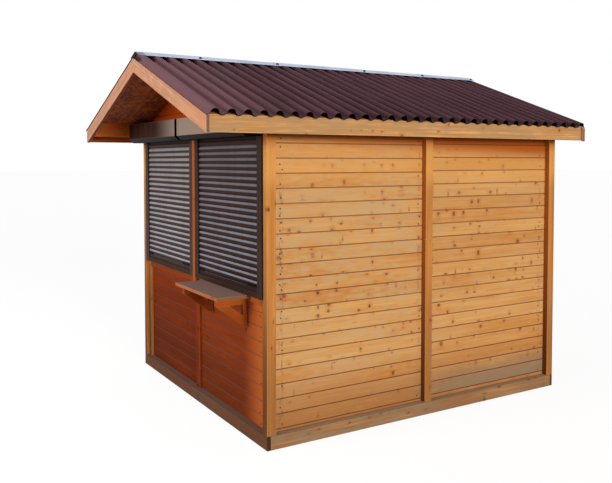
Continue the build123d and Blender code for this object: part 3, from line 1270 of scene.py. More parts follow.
# A darker copy for the right shutter's guides: painted shade.
SHADED_RIGHT_GUIDE_PAINT = replace(
    GUIDE_PAINT,
    name="right_shutter_guide_brown",
    coat=screen_colour(50, 35, 29),
    sheen=screen_colour(58, 43, 37),
)
# Painted light: paler toward the right, with a painted highlight on top; painted shade on the underside and the
# near-black ends, which are also dark end caps.
BOX_PAINT = PaintFinish(
    "shutter_box_brown",
    coat=screen_colour(47, 23, 13),
    dust=screen_colour(120, 102, 90),
    sheen=screen_colour(130, 114, 103),
    under=screen_colour(24, 17, 17),
    sheen_start=0.5,
    sheen_end=0.9,
    faded_share=1.0,
    end_share=1.0,
    dust_share=0.08,
)


BOARD_HEART_ACROSS = 0.035
BOARD_HEART_DEPTHS = (0.018, 0.085)
BOARD_HEART_LEAN = 0.008
TIMBER_HEART_REACHES = (0.012, 0.07)
TIMBER_HEART_LEAN = 0.006


@dataclass(frozen=True)
class Heart:
    """Where the heart of the tree lies from the middle of a timber."""

    across: float
    depth: float
    lean: float

    @staticmethod
    def of_board(dice: random.Random) -> "Heart":
        """The heart behind a flat-sawn board.

        Args:
            dice: The draft's chances.

        Returns:
            The heart.
        """
        across = dice.uniform(-BOARD_HEART_ACROSS, BOARD_HEART_ACROSS)
        depth = dice.uniform(*BOARD_HEART_DEPTHS)
        return Heart(across, depth, dice.gauss(0.0, BOARD_HEART_LEAN))

    @staticmethod
    def of_timber(dice: random.Random) -> "Heart":
        """The heart beside or inside a squared timber.

        Args:
            dice: The draft's chances.

        Returns:
            The heart.
        """
        bearing = dice.uniform(0.0, math.tau)
        reach = dice.uniform(*TIMBER_HEART_REACHES)
        lean = dice.gauss(0.0, TIMBER_HEART_LEAN)
        return Heart(reach * math.cos(bearing), reach * math.sin(bearing), lean)


class Draft:
    """A mesh in the making that keeps each timber's grain beside its points."""

    join_digits: int = 6
    flat_angle: float = math.radians(0.5)
    edge_angle: float = math.radians(12)
    edge_profile: float = 0.6
    edge_segments: int = 2
    end_facing: float = 0.8
    grain_run: float = 40.0

    def __init__(self, name: str) -> None:
        """Starts an empty draft whose chances follow from its name.

        Args:
            name: The name of the piece that it becomes.
        """
        self.name = name
        self.dice = random.Random(name)
        self.mesh = bmesh.new()
        self.grain = self.mesh.verts.layers.float_vector.new("grain")
        self.tone = self.mesh.verts.layers.float.new("tone")
        self.from_start = self.mesh.verts.layers.float.new("from_start")
        self.from_end = self.mesh.verts.layers.float.new("from_end")
        self.worn = self.mesh.faces.layers.float.new("worn_edge")
        self.cut = self.mesh.faces.layers.float.new("cut_end")

    def prism(self, outline: Sequence[Vector], run: Vector) -> Solid:
        """Adds a closed prism.

        Args:
            outline: The corners of its first end, in order.
            run: The way from its first end to its second.

        Returns:
            Its points.
        """
        near = [self.mesh.verts.new(point) for point in outline]
        far = [self.mesh.verts.new(point + run) for point in outline]
        self.mesh.faces.new(near)
        self.mesh.faces.new(far[::-1])
        for index, corner in enumerate(near):
            following = (index + 1) % len(near)
            self.mesh.faces.new((corner, far[index], far[following], near[following]))
        return near + far

    def take_node(self, node: str) -> None:
        """Copies a node's solids, with the corners of its triangles joined.

        Args:
            node: The node's name.
        """
        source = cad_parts[node].data
        corners: dict[tuple[float, ...], bmesh.types.BMVert] = {}
        for polygon in source.polygons:
            face = []
            for index in polygon.vertices:
                point = source.vertices[index].co
                key = tuple(round(value, self.join_digits) for value in point)
                if key not in corners:
                    corners[key] = self.mesh.verts.new(point)
                face.append(corners[key])
            if len(set(face)) == len(face):
                self.mesh.faces.new(face)
        bmesh.ops.dissolve_limit(
            self.mesh, angle_limit=self.flat_angle, verts=self.mesh.verts[:], edges=self.mesh.edges[:])

    def soften(self, width: float) -> None:
        """Rounds every edge and marks the rounded faces as worn.

        Args:
            width: The width of the rounding.
        """
        edges = [edge for edge in self.mesh.edges if edge.calc_face_angle(0.0) > self.edge_angle]
        made = bmesh.ops.bevel(
            self.mesh, geom=edges, offset=width, segments=self.edge_segments, profile=self.edge_profile,
            affect="EDGES", clamp_overlap=True)
        for face in made["faces"]:
            face[self.worn] = 1.0

    def solids(self) -> Iterator[Solid]:
        """The draft's loose solids, one after another."""
        left = dict.fromkeys(self.mesh.verts)
        while left:
            group = [next(iter(left))]
            del left[group[0]]
            for vert in group:
                for edge in vert.link_edges:
                    other = edge.other_vert(vert)
                    if other in left:
                        del left[other]
                        group.append(other)
            yield group

    def stamp(self, solid: Solid, axes: Sequence[Vector], heart: Heart) -> None:
        """Writes the grain of one timber to its points.

        Args:
            solid: The timber's points.
            axes: The ways along, across and into it.
            heart: Where the heart of the tree lies.
        """
        for face in {face for vert in solid for face in vert.link_faces}:
            face.normal_update()
            face[self.cut] = 1.0 if abs(face.normal.dot(axes[0])) > self.end_facing else 0.0
        middle = sum((vert.co for vert in solid), Vector()) / len(solid)
        start = self.dice.uniform(0.0, self.grain_run)
        tone = self.dice.random()
        reaches = [(vert.co - middle).dot(axes[0]) for vert in solid]
        first, last = min(reaches), max(reaches)
        for vert in solid:
            reach = vert.co - middle
            along = reach.dot(axes[0])
            across = reach.dot(axes[1]) - heart.across - heart.lean * along
            depth = reach.dot(axes[2]) - heart.depth
            vert[self.grain] = Vector((start + along, across, depth))
            vert[self.tone] = tone
            vert[self.from_start] = along - first
            vert[self.from_end] = last - along

    def finish(self, material: bpy.types.Material, slot: str, *nodes: str) -> None:
        """Turns the draft into a piece that rides on the hut.

        Args:
            material: Its material.
            slot: The record's slot for its finish; not used.
            *nodes: The nodes that it stands for.
        """
        bmesh.ops.recalc_face_normals(self.mesh, faces=self.mesh.faces[:])
        data = bpy.data.meshes.new(self.name)
        self.mesh.to_mesh(data)
        self.mesh.free()
        data.materials.append(material)
        piece = bpy.data.objects.new(self.name, data)
        bpy.context.scene.collection.objects.link(piece)
        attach(piece, BODY)
        if nodes:
            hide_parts(*nodes)
        LOG.info("%s: %d faces", self.name, len(data.polygons))


@dataclass(frozen=True)
class Timber:
    """A node of one or more straight timbers that keeps its shape and gets soft edges and grain."""

    node: str
    finish: PineFinish
    slot: str
    axis: GrainAxis
    rounding: float = 0.0025

    def build(self) -> None:
        """Makes the timbers of the node."""
        draft = Draft(f"{self.node}_timber")
        draft.take_node(self.node)
        draft.soften(self.rounding)
        for solid in list(draft.solids()):
            draft.stamp(solid, self.axes(solid), Heart.of_timber(draft.dice))
        draft.finish(self.finish.material(), self.slot, self.node)

    def axes(self, solid: Solid) -> Sequence[Vector]:
        """The ways of the grain in one of the timbers."""
        return self.axis.value


@dataclass(frozen=True)
class SlopingTimber(Timber):
    """A node of timbers that run down the roof's slope, one to each side."""

    pitch: float = ROOF_PITCH

    def axes(self, solid: Solid) -> Sequence[Vector]:
        """The ways of the grain, down the slope on the timber's own side.

        Args:
            solid: The timber's points.

        Returns:
            The ways along, across and into it.
        """
        side = 1 if solid[0].co.x > 0 else -1
        along = Vector((side * math.cos(self.pitch), 0.0, -math.sin(self.pitch)))
        across = Vector((side * math.sin(self.pitch), 0.0, math.cos(self.pitch)))
        return along, across, Vector((0, 1, 0))


@dataclass(frozen=True)
class BoardStyle:
    """The section of a tongued and grooved board."""

    cover: float = 0.088
    chamfer: float = 0.0028
    gap: float = 0.0018
    tongue: float = 0.006
    tongue_share: float = 0.3
    groove_play: float = 0.0006
    most_chamfer_share: float = 0.25

    def outline(self, low: float, high: float, thickness: float, foot: bool, head: bool) -> list[Pair]:
        """The board's section.

        Args:
            low: Where the board starts.
            high: Where the next board starts.
            thickness: Its thickness.
            foot: Whether it is the lowest board, with no groove.
            head: Whether it is the highest board, with no tongue.

        Returns:
            Its corners as places up the wall and out of the wall's back.
        """
        bottom = low if foot else low + self.gap / 2
        top = high if head else high - self.gap / 2
        lower = thickness * (0.5 - self.tongue_share / 2)
        upper = thickness * (0.5 + self.tongue_share / 2)
        chamfer = min(self.chamfer, (top - bottom) * self.most_chamfer_share)
        points = [(bottom + chamfer, thickness), (top - chamfer, thickness), (top, thickness - chamfer)]
        if not head:
            points += [(top, upper), (high + self.tongue, upper), (high + self.tongue, lower), (top, lower)]
        points += [(top, 0.0), (bottom, 0.0)]
        reach = low + self.tongue + self.groove_play
        if not foot and reach < top - self.tongue:
            inner = lower - self.groove_play
            outer = upper + self.groove_play
            points += [(bottom, inner), (reach, inner), (reach, outer), (bottom, outer)]
        points.append((bottom, thickness - chamfer))
        return points


@dataclass(frozen=True)
class Bay:
    """One stretch of boards: its back corner, the ways along, up and out, and its sizes."""

    corner: Vector
    along: Vector
    up: Vector
    out: Vector
    length: float
    rise: float
    thickness: float
    first_joint: float
    least_share: float = 1 / 16

    def joints(self, cover: float) -> list[float]:
        """The heights where boards meet, with the bay's foot and head.

        Args:
            cover: The height that one board covers.

        Returns:
            The heights above the bay's foot, lowest first.
        """
        heights = [0.0]
        height = self.first_joint
        least = cover * self.least_share
        while height < self.rise - least:
            if height > least:
                heights.append(height)
            height += cover
        return heights + [self.rise]


@dataclass
class BoardedWall:
    """A wall node rebuilt from separate boards, with the nails that hold them."""

    node: str
    finish: PineFinish
    slot: str
    bays: list[Bay]
    style: BoardStyle = BoardStyle()
    sink: float = 0.0006
    chamfer_slants: Pair = (0.2, 0.9)
    nailed: bool = True
    nail_radius: float = 0.0048
    nail_head: float = 0.0007
    nail_row_shares: Pair = (0.27, 0.73)
    start_nail_share: float = 0.7
    end_nail_share: float = 0.3
    nail_drift_along: float = 0.009
    nail_drift_up: float = 0.012

    def build(self) -> None:
        """Makes the boards and their nails."""
        draft = Draft(f"{self.node}_boards")
        nails = Draft(f"{self.node}_nails")
        for bay in self.bays:
            self._lay(draft, nails, bay)
        self.trim(draft)
        draft.finish(self.finish.material(), self.slot, self.node)
        if self.nailed:
            nails.finish(DARK_STEEL.material(), "fittings")

    def trim(self, draft: Draft) -> None:
        """Cuts the boards to the wall's outline, which needs nothing on an upright wall."""

    def _lay(self, draft: Draft, nails: Draft, bay: Bay) -> None:
        """Lays the boards of one bay.

        Args:
            draft: The draft of the boards.
            nails: The draft of the nails.
            bay: The bay.
        """
        joints = bay.joints(self.style.cover)
        axes = (bay.along, bay.up, -bay.out)
        for index, (low, high) in enumerate(zip(joints, joints[1:])):
            section = self.style.outline(low, high, bay.thickness, index == 0, index == len(joints) - 2)
            sink = bay.out * draft.dice.uniform(-self.sink, 0.0)
            outline = [bay.corner + bay.up * up + bay.out * out + sink for up, out in section]
            solid = draft.prism(outline, bay.along * bay.length)
            draft.stamp(solid, axes, Heart.of_board(draft.dice))
            if self.nailed and high - low > self.style.cover / 2:
                self._nail(nails, bay, low, high)
        draft.mesh.normal_update()
        least, most = self.chamfer_slants
        for face in draft.mesh.faces:
            if least < abs(face.normal.dot(bay.out)) < most:
                face[draft.worn] = 1.0

    def _nail(self, nails: Draft, bay: Bay, low: float, high: float) -> None:
        """Drives two nails at each end of a board.

        Args:
            nails: The draft of the nails.
            bay: The board's bay.
            low: The board's lower edge.
            high: The board's upper edge.
        """
        ends = ((NAIL_INSET, self.start_nail_share), (bay.length - NAIL_INSET, self.end_nail_share))
        for end, nail_share in ends:
            for row_share in self.nail_row_shares:
                if nails.dice.random() > nail_share:
                    continue
                along = end + nails.dice.uniform(-self.nail_drift_along, self.nail_drift_along)
                up = low + (high - low) * row_share
                up += nails.dice.uniform(-self.nail_drift_up, self.nail_drift_up)
                middle = bay.corner + bay.along * along + bay.up * up + bay.out * bay.thickness
                button(nails, middle, bay.out, self.nail_radius, self.nail_head)


@dataclass
class GableWall(BoardedWall):
    """A boarded gable, cut to the slopes of the roof."""

    apex: float = 0.0
    slope: float = math.tan(ROOF_PITCH)

    def trim(self, draft: Draft) -> None:
        """Cuts the boards along both slopes and closes the cut ends.

        Args:
            draft: The draft of the boards.
        """
        for side in Side:
            whole = draft.mesh.verts[:] + draft.mesh.edges[:] + draft.mesh.faces[:]
            made = bmesh.ops.bisect_plane(
                draft.mesh, geom=whole, plane_co=(0.0, 0.0, self.apex),
                plane_no=(side.value * self.slope, 0.0, 1.0), clear_outer=True)
            rim = [part for part in made["geom_cut"] if isinstance(part, bmesh.types.BMEdge)]
            bmesh.ops.holes_fill(draft.mesh, edges=rim)


HEAD_SIDES = 8
HEAD_RING_SHARES = ((1.0, -0.5), (1.0, 0.4), (0.72, 0.85), (0.3, 1.0))


def button(draft: Draft, middle: Vector, out: Vector, radius: float, height: float) -> None:
    """Adds a low round head, as of a nail or a screw.

    Args:
        draft: The draft that gets it.
        middle: The middle of its foot.
        out: The way it faces.
        radius: Its radius.
        height: Its height.
    """
    turn = out.to_track_quat("Z", "Y")
    rings: list[Solid] = []
    for reach_share, lift_share in HEAD_RING_SHARES:
        reach = radius * reach_share
        ring = []
        for step in range(HEAD_SIDES):
            bearing = math.tau * step / HEAD_SIDES
            local = Vector((math.cos(bearing) * reach, math.sin(bearing) * reach, height * lift_share))
            ring.append(draft.mesh.verts.new(middle + turn @ local))
        rings.append(ring)
    for lower, higher in zip(rings, rings[1:]):
        for step in range(HEAD_SIDES):
            following = (step + 1) % HEAD_SIDES
            draft.mesh.faces.new((lower[step], lower[following], higher[following], higher[step]))
    draft.mesh.faces.new(rings[-1])
    draft.mesh.faces.new(rings[0][::-1])


@dataclass(frozen=True)
class PaintedPart:
    """A painted node that keeps its shape and gets soft edges."""

    node: str
    finish: PaintFinish
    slot: str = "shutter_paint"
    rounding: float = 0.0012

    def build(self) -> None:
        """Makes the part."""
        draft = Draft(f"{self.node}_painted")
        draft.take_node(self.node)
        draft.soften(self.rounding)
        draft.finish(self.finish.material(), self.slot, self.node)


@dataclass(frozen=True)
class FinishedNode:
    """A node that is shown as it is, with a finish of its own."""

    node: str
    finish: Finish

    def dress(self) -> None:
        """Puts the finish in the node's material slots."""
        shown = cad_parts[self.node]
        for place in shown.material_slots:
            place.material = self.finish.material()
        LOG.info("%s: finish %s", self.node, self.finish.name)


@dataclass
class Base:
    """The sills, the joists between them and the floor boards."""

    board_cover: float = 0.12

    def build(self) -> None:
        """Makes the base's timbers and boards."""
        for side in Side:
            Timber(f"sill_{side.word}", BASE_PINE, "base_timber", GrainAxis.Y).build()
        Timber("sill_front", FRONT_BASE_PINE, "base_timber", GrainAxis.X).build()
        Timber("sill_back", BASE_PINE, "base_timber", GrainAxis.X).build()
        Timber("floor_joists", BASE_PINE, "base_timber", GrainAxis.X).build()
        low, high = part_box("floor_deck")
        bay = Bay(
            corner=Vector(low),
            along=Vector((0, 1, 0)),
            up=Vector((1, 0, 0)),
            out=Vector((0, 0, 1)),
            length=high.y - low.y,
            rise=high.x - low.x,
            thickness=high.z - low.z,
            first_joint=self.board_cover,
        )
        style = BoardStyle(cover=self.board_cover)
        BoardedWall("floor_deck", FLOOR_PINE, "floor_boards", [bay], style, nailed=False).build()


@dataclass
class Walls:
    """The boarded walls and gables, and the posts and plates that hold them."""

    front_joint: float = 0.018
    back_joint: float = 0.026
    low_wall_joint: float = 0.075
    low_wall_gap: float = 0.0008
    gable_joint: float = 0.070
    back_wall_joint: float = 0.018

    def build(self) -> None:
        """Makes the walls, sides first."""
        for side in Side:
            self._side_wall(side)
            self._front_wall(side)
        for end in ("front", "back"):
            self._gable(end)
        self._back_wall()
        self._frame()

    def _side_wall(self, side: Side) -> None:
        """Boards one side in two bays that meet behind the middle post.

        Args:
            side: The side.
        """
        node = f"side_wall_{side.word}"
        low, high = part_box(node)
        post_low, post_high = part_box(f"mid_post_{side.word}")
        middle = (post_low.y + post_high.y) / 2
        back = low.x if side is Side.RIGHT else high.x
        bays = []
        for start, end, joint in ((low.y, middle, self.front_joint), (middle, high.y, self.back_joint)):
            bays.append(Bay(
                corner=Vector((back, start, low.z)),
                along=Vector((0, 1, 0)),
                up=Vector((0, 0, 1)),
                out=Vector((side.value, 0, 0)),
                length=end - start,
                rise=high.z - low.z,
                thickness=high.x - low.x,
                first_joint=joint,
            ))
        BoardedWall(node, SIDE_PINE, "side_boards", bays).build()

    def _front_wall(self, side: Side) -> None:
        """Boards one half of the low wall under the shutters.

        Args:
            side: The half.
        """
        node = f"front_wall_{side.word}"
        bay = across_bay(*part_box(node), -1, self.low_wall_joint)
        # The left half takes a darker copy of the front boards' finish: painted shade.
        finish = FRONT_PINE if side is Side.RIGHT else SHADED_LEFT_FRONT_PINE
        style = BoardStyle(gap=self.low_wall_gap)
        BoardedWall(node, finish, "front_boards", [bay], style).build()

    def _gable(self, end: str) -> None:
        """Boards one gable.

        Args:
            end: The end of the hut, front or back.
        """
        node = f"{end}_gable"
        low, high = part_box(node)
        bay = across_bay(low, high, -1 if end == "front" else 1, self.gable_joint)
        GableWall(node, GABLE_PINE, "front_boards", [bay], nailed=False, apex=high.z).build()

    def _back_wall(self) -> None:
        """Boards the back wall on both sides of the door."""
        low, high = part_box("back_walls")
        posts_low, posts_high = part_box("door_posts")
        bays = [
            across_bay(low, Vector((posts_low.x, high.y, high.z)), 1, self.back_wall_joint),
            across_bay(Vector((posts_high.x, low.y, low.z)), high, 1, self.back_wall_joint),
        ]
        BoardedWall("back_walls", SIDE_PINE, "side_boards", bays).build()

    def _frame(self) -> None:
        """Makes the posts, plates and rails."""
        for node in ("corner_posts_front", "corner_boards_front"):
            Timber(node, FRAME_PINE, "frame_timber", GrainAxis.Z).build()
        posts = ("corner_posts_back", "corner_boards_back", "mid_post_right", "mid_post_left", "door_posts")
        for node in posts:
            Timber(node, POST_PINE, "frame_timber", GrainAxis.Z).build()
        Timber("cover_strip", PLATE_PINE, "frame_timber", GrainAxis.Z).build()
        Timber("centre_post", CENTRE_POST_PINE, "front_boards", GrainAxis.Z).build()
        for side in Side:
            Timber(f"wall_plate_{side.word}", PLATE_PINE, "frame_timber", GrainAxis.Y).build()
        for node in ("counter_rail", "front_head_rail", "back_head_rail"):
            Timber(node, RAIL_PINE, "front_boards", GrainAxis.X).build()


def across_bay(low: Vector, high: Vector, facing: int, first_joint: float) -> Bay:
    """A bay of boards that run across the hut.

    Args:
        low: The lowest corner of the wall.
        high: Its highest corner.
        facing: Which way along Y its face looks, -1 or 1.
        first_joint: The height of its first joint above its foot.

    Returns:
        The bay.
    """
    return Bay(
        corner=Vector((low.x, high.y if facing < 0 else low.y, low.z)),
        along=Vector((1, 0, 0)),
        up=Vector((0, 0, 1)),
        out=Vector((0, facing, 0)),
        length=high.x - low.x,
        rise=high.z - low.z,
        thickness=high.y - low.y,
        first_joint=first_joint,
    )


@dataclass
class ServingFront:
    """The roller shutters with their boxes, guides and sills, and the shelf on its brackets."""

    catch_lengths: tuple[float, float] = (0.075, 0.14)
    catch_height: float = 0.013
    catch_depth: float = 0.007
    catch_inset: float = 0.042
    catch_base: float = 0.026
    catch_rounding: float = 0.0026
    box_rounding: float = 0.003
    sill_rounding: float = 0.002
    shelf_rounding: float = 0.0035

    def build(self) -> None:
        """Makes the shutters' parts, their catches and the shelf."""
        for side in Side:
            PaintedPart(f"shutter_box_{side.word}", BOX_PAINT, rounding=self.box_rounding).build()
            # The right shutter's guides take a shaded copy of the paint: painted shade.
            guides = SHADED_RIGHT_GUIDE_PAINT if side is Side.RIGHT else GUIDE_PAINT
            PaintedPart(f"shutter_guides_{side.word}", guides).build()
            # The right shutter's slats take a shaded copy of the paint and the left's a lit one.
            slats = SHADED_RIGHT_SLAT_PAINT if side is Side.RIGHT else LIT_LEFT_SLAT_PAINT
            FinishedNode(f"shutter_curtain_{side.word}", slats).dress()
            self._catches(side)
        PaintedPart("shutter_sills", FRAME_PAINT, rounding=self.sill_rounding).build()
        Timber("counter_shelf", SHELF_PINE, "shelf_timber", GrainAxis.X, self.shelf_rounding).build()
        Timber("shelf_brackets", BRACKET_PINE, "front_boards", GrainAxis.Y).build()

    def _catches(self, side: Side) -> None:
        """Makes the dark catches at both ends of a shutter's foot.

        Args:
            side: The shutter's side.
        """
        low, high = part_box(f"shutter_curtain_{side.word}")
        draft = Draft(f"shutter_catches_{side.word}")
        left_length, right_length = self.catch_lengths
        first = low.x + self.catch_inset
        last = high.x - self.catch_inset
        base = low.z + self.catch_base
        for start, end in ((first, first + left_length), (last - right_length, last)):
            outline = [
                Vector((start, low.y, base)),
                Vector((end, low.y, base)),
                Vector((end, low.y, base + self.catch_height)),
                Vector((start, low.y, base + self.catch_height)),
            ]
            draft.prism(outline, Vector((0, -self.catch_depth, 0)))
        draft.soften(self.catch_rounding)
        draft.finish(BLACK_STEEL.material(), "fittings")


@dataclass
class BackDoor:
    """The boarded door in the back wall with its hinges and handle."""

    board_cover: float = 0.088

    def build(self) -> None:
        """Makes the door's upright boards and dresses its fittings."""
        low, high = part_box("door_leaf")
        bay = Bay(
            corner=Vector(low),
            along=Vector((0, 0, 1)),
            up=Vector((1, 0, 0)),
            out=Vector((0, 1, 0)),
            length=high.z - low.z,
            rise=high.x - low.x,
            thickness=high.y - low.y,
            first_joint=self.board_cover,
        )
        style = BoardStyle(cover=self.board_cover)
        BoardedWall("door_leaf", SIDE_PINE, "side_boards", [bay], style).build()
        for node in ("door_hinges", "door_handle"):
            FinishedNode(node, DARK_STEEL).dress()


@dataclass
class Roof:
    """The decks, eave and barge boards, corrugated sheets and the lapped ridge cap."""

    cap_joints: tuple[float, ...] = (-1.425, -1.053, -0.453, 0.322, 0.908)
    sheet: float = 0.0016
    lap: float = 0.04
    lap_lift: float = 0.0012
    fold_share: float = 0.92
    crown_share: float = 0.12
    crown_drop_share: float = 0.13
    screw_radius: float = 0.011
    screw_height: float = 0.009
    screw_share: float = 0.62

    def build(self) -> None:
        """Makes the roof from the decks up."""
        for side in Side:
            FinishedNode(f"roof_deck_{side.word}", STRAND_BOARD).dress()
            FinishedNode(f"roof_sheet_{side.word}", ROOF_SHEET).dress()
            Timber(f"fascia_{side.word}", PALE_PINE, "pale_timber", GrainAxis.Y).build()
        for end in ("front", "back"):
            SlopingTimber(f"barge_boards_{end}", BARGE_PINE, "pale_timber", GrainAxis.X).build()
        self._ridge()

    def _ridge(self) -> None:
        """Makes the ridge cap in lapped lengths, with a screw on each side at every lap after the first and near
        the back end.
        """
        low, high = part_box("ridge_cap")
        stops = [low.y, *self.cap_joints, high.y]
        screws = Draft("ridge_screws")
        for index, (start, end) in enumerate(zip(stops, stops[1:])):
            draft = Draft(f"ridge_cap_{index + 1}")
            reach = end if index == len(stops) - 2 else end + self.lap
            lift = self.lap_lift * (index % 2)
            self._cap_length(draft, low, high, start, reach, lift)
            if index == 0:
                self._front_fold(draft, low, high)
            finish = FRONT_ZINC if index == 0 else RIDGE_ZINC
            nodes = ("ridge_cap",) if index == 0 else ()
            draft.finish(finish.material(), "galvanised", *nodes)
            for side in Side if index else ():
                self._screw(screws, low, high, reach - self.lap / 2, side)
        screws.finish(BLACK_STEEL.material(), "fittings")

    def _cap_length(
        self, draft: Draft, low: Vector, high: Vector, start: float, end: float, lift: float,
    ) -> None:
        """Folds one length of the cap.

        Args:
            draft: Its draft.
            low: The lowest corner of the whole cap.
            high: Its highest corner.
            start: Where the length starts along the ridge.
            end: Where it ends.
            lift: How much it lies above its neighbours.
        """
        half = high.x
        drop = high.z - low.z - self.sheet
        crown = half * self.crown_share
        crown_drop = drop * self.crown_drop_share
        upper = [(-half, -drop), (-crown, -crown_drop), (0.0, 0.0), (crown, -crown_drop), (half, -drop)]
        top = high.z - self.lap_lift + lift
        outline = [Vector((x, start, top + z)) for x, z in upper]
        outline += [Vector((x, start, top + z - self.sheet)) for x, z in reversed(upper)]
        draft.prism(outline, Vector((0, end - start, 0)))

    def _front_fold(self, draft: Draft, low: Vector, high: Vector) -> None:
        """Folds the cap's front end down over the hollow under it.

        Args:
            draft: The draft of the front length.
            low: The lowest corner of the whole cap.
            high: Its highest corner.
        """
        top = high.z - self.lap_lift - self.sheet
        half = high.x * self.fold_share
        foot = low.z - (high.z - low.z) * (self.fold_share - 1)
        slope = (high.z - low.z) / high.x
        outline = [
            Vector((-half, low.y, top - half * slope)),
            Vector((0.0, low.y, top)),
            Vector((half, low.y, top - half * slope)),
            Vector((half, low.y, foot)),
            Vector((0.0, low.y, foot + half * slope)),
            Vector((-half, low.y, foot)),
        ]
        draft.prism(outline, Vector((0, self.sheet, 0)))

    def _screw(self, draft: Draft, low: Vector, high: Vector, along: float, side: Side) -> None:
        """Puts one screw through the cap.

        Args:
            draft: The draft of the screws.
            low: The lowest corner of the cap.
            high: Its highest corner.
            along: The screw's place along the ridge.
            side: The side of the ridge.
        """
        drop = high.z - low.z
        out = Vector((side.value * drop, 0.0, high.x)).normalized()
        foot = Vector((side.value * high.x * self.screw_share, along, high.z - drop * self.screw_share))
        button(draft, foot, out, self.screw_radius, self.screw_height)


@dataclass(frozen=True)
class Camera:
    """The camera of the photograph, in picture points of a 612 by 483 image."""

    image_width: int = 612
    image_height: int = 483
    focal_points: float = 723.9
    axis_row: float = 190.57
    location: tuple[float, float, float] = (4.6953, -2.9881, 1.6673)
    yaw: float = 58.910
    pitch: float = -2.309
    sensor: float = 36.0
    clip: float = 400.0

    def build(self) -> None:
        """Makes the camera and gives it to the scene."""
        data = bpy.data.cameras.new("camera")
        data.sensor_fit = "HORIZONTAL"
        data.sensor_width = self.sensor
        data.lens = self.focal_points * self.sensor / self.image_width
        data.shift_y = (self.axis_row - self.image_height / 2) / self.image_width
        data.clip_end = self.clip
        camera = bpy.data.objects.new("camera", data)
        camera.location = self.location
        camera.rotation_euler = (math.radians(90 + self.pitch), 0.0, math.radians(self.yaw))
        bpy.context.scene.collection.objects.link(camera)
        bpy.context.scene.camera = camera


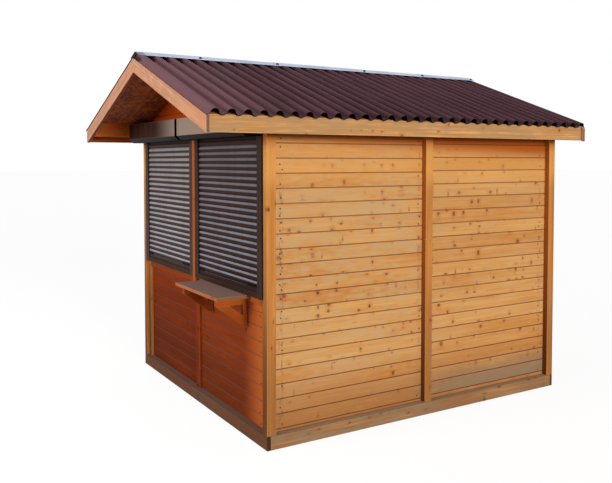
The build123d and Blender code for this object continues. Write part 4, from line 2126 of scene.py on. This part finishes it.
@dataclass(frozen=True)
class Studio:
    """The pale floor, the white surroundings and the lamps."""

    floor_half: float = 120.0
    floor_drop: float = 0.0005
    floor_glow: float = 0.9
    floor_seen: float = 0.15
    floor_bounce: float = 0.45
    ambient: float = 0.42
    key_strength: float = 2.5
    key_angle: float = 16.0
    key_direction: tuple[float, float, float] = (0.985, -0.04, 0.145)
    box_place: tuple[float, float, float] = (0.6, -6.4, 2.6)
    box_target: tuple[float, float, float] = (0.0, -1.1, 1.3)
    box_size: float = 3.0
    box_power: float = 200.0

    def build(self) -> None:
        """Makes the floor, the surroundings and the lamps."""
        bpy.context.scene.view_settings.view_transform = "Standard"
        self._floor()
        self._world()
        self._lamps()

    def _seen(self, tree: bpy.types.NodeTree) -> Socket:
        """Tells rays that show the background from rays that light the object.

        Args:
            tree: The node tree that gets the test.

        Returns:
            1 for camera, glossy and transmission rays, or 0.
        """
        path = tree.nodes.new("ShaderNodeLightPath")
        result = path.outputs["Is Camera Ray"]
        for name in ("Is Glossy Ray", "Is Transmission Ray"):
            either = tree.nodes.new("ShaderNodeMath")
            either.operation = "MAXIMUM"
            tree.links.new(result, either.inputs[0])
            tree.links.new(path.outputs[name], either.inputs[1])
            result = either.outputs[0]
        return result

    def _floor(self) -> None:
        """Lays the floor, white to the camera and a plain pale grey to the light."""
        draft = bmesh.new()
        half = self.floor_half
        corners = [(-half, -half), (half, -half), (half, half), (-half, half)]
        draft.faces.new([draft.verts.new((x, y, -self.floor_drop)) for x, y in corners])
        data = bpy.data.meshes.new("floor")
        draft.to_mesh(data)
        draft.free()
        sheet = NodeSheet("studio_floor")
        tree = sheet.tree
        pale = sheet.node("ShaderNodeBsdfDiffuse")
        pale.inputs["Color"].default_value = plain_grey(self.floor_seen)
        glow = sheet.node("ShaderNodeEmission")
        glow.inputs["Strength"].default_value = self.floor_glow
        shown = sheet.node("ShaderNodeAddShader")
        tree.links.new(pale.outputs[0], shown.inputs[0])
        tree.links.new(glow.outputs[0], shown.inputs[1])
        bounce = sheet.node("ShaderNodeBsdfDiffuse")
        bounce.inputs["Color"].default_value = plain_grey(self.floor_bounce)
        choice = sheet.node("ShaderNodeMixShader")
        tree.links.new(self._seen(tree), choice.inputs[0])
        tree.links.new(bounce.outputs[0], choice.inputs[1])
        tree.links.new(shown.outputs[0], choice.inputs[2])
        target = sheet.node("ShaderNodeOutputMaterial")
        tree.links.new(choice.outputs[0], target.inputs["Surface"])
        data.materials.append(sheet.material)
        floor = bpy.data.objects.new("floor", data)
        bpy.context.scene.collection.objects.link(floor)
        floor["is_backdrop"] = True

    def _world(self) -> None:
        """Makes the surroundings white to the camera and a plain soft light on the object."""
        world = bpy.data.worlds.new("surroundings")
        world.use_nodes = True
        tree = world.node_tree
        background = tree.nodes["Background"]
        background.inputs["Color"].default_value = plain_grey(1.0)
        strength = tree.nodes.new("ShaderNodeMath")
        strength.operation = "MULTIPLY_ADD"
        tree.links.new(self._seen(tree), strength.inputs[0])
        strength.inputs[1].default_value = 1.0 - self.ambient
        strength.inputs[2].default_value = self.ambient
        tree.links.new(strength.outputs[0], background.inputs["Strength"])
        bpy.context.scene.world = world

    def _lamps(self) -> None:
        """Hangs the low key lamp on the hut's right and the soft box at its front."""
        key = bpy.data.lights.new("key", "SUN")
        key.energy = self.key_strength
        key.angle = math.radians(self.key_angle)
        lamp = bpy.data.objects.new("key", key)
        lamp.rotation_euler = Vector(self.key_direction).to_track_quat("Z", "Y").to_euler()
        bpy.context.scene.collection.objects.link(lamp)
        soft = bpy.data.lights.new("soft_box", "AREA")
        soft.energy = self.box_power
        soft.size = self.box_size
        box = bpy.data.objects.new("soft_box", soft)
        box.location = self.box_place
        away = Vector(self.box_place) - Vector(self.box_target)
        box.rotation_euler = away.to_track_quat("Z", "Y").to_euler()
        box.visible_camera = False
        bpy.context.scene.collection.objects.link(box)


def write_sizes() -> None:
    """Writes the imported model's box and the dressed model's box side by side."""
    boxes = {"cad": cad_box, "visual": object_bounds()}
    plain = {name: [[float(value) for value in corner] for corner in corners] for name, corners in boxes.items()}
    LOG.info("boxes: %s", plain)


def main() -> None:
    """Builds the hut from the base up, then the studio around it."""
    logging.basicConfig(level=logging.INFO, format="%(name)s %(message)s")
    for assembly in (Base(), Walls(), ServingFront(), BackDoor(), Roof(), Camera(), Studio()):
        assembly.build()
        LOG.info("%s done", type(assembly).__name__)
    write_sizes()


if __name__ == "__main__":
    main()
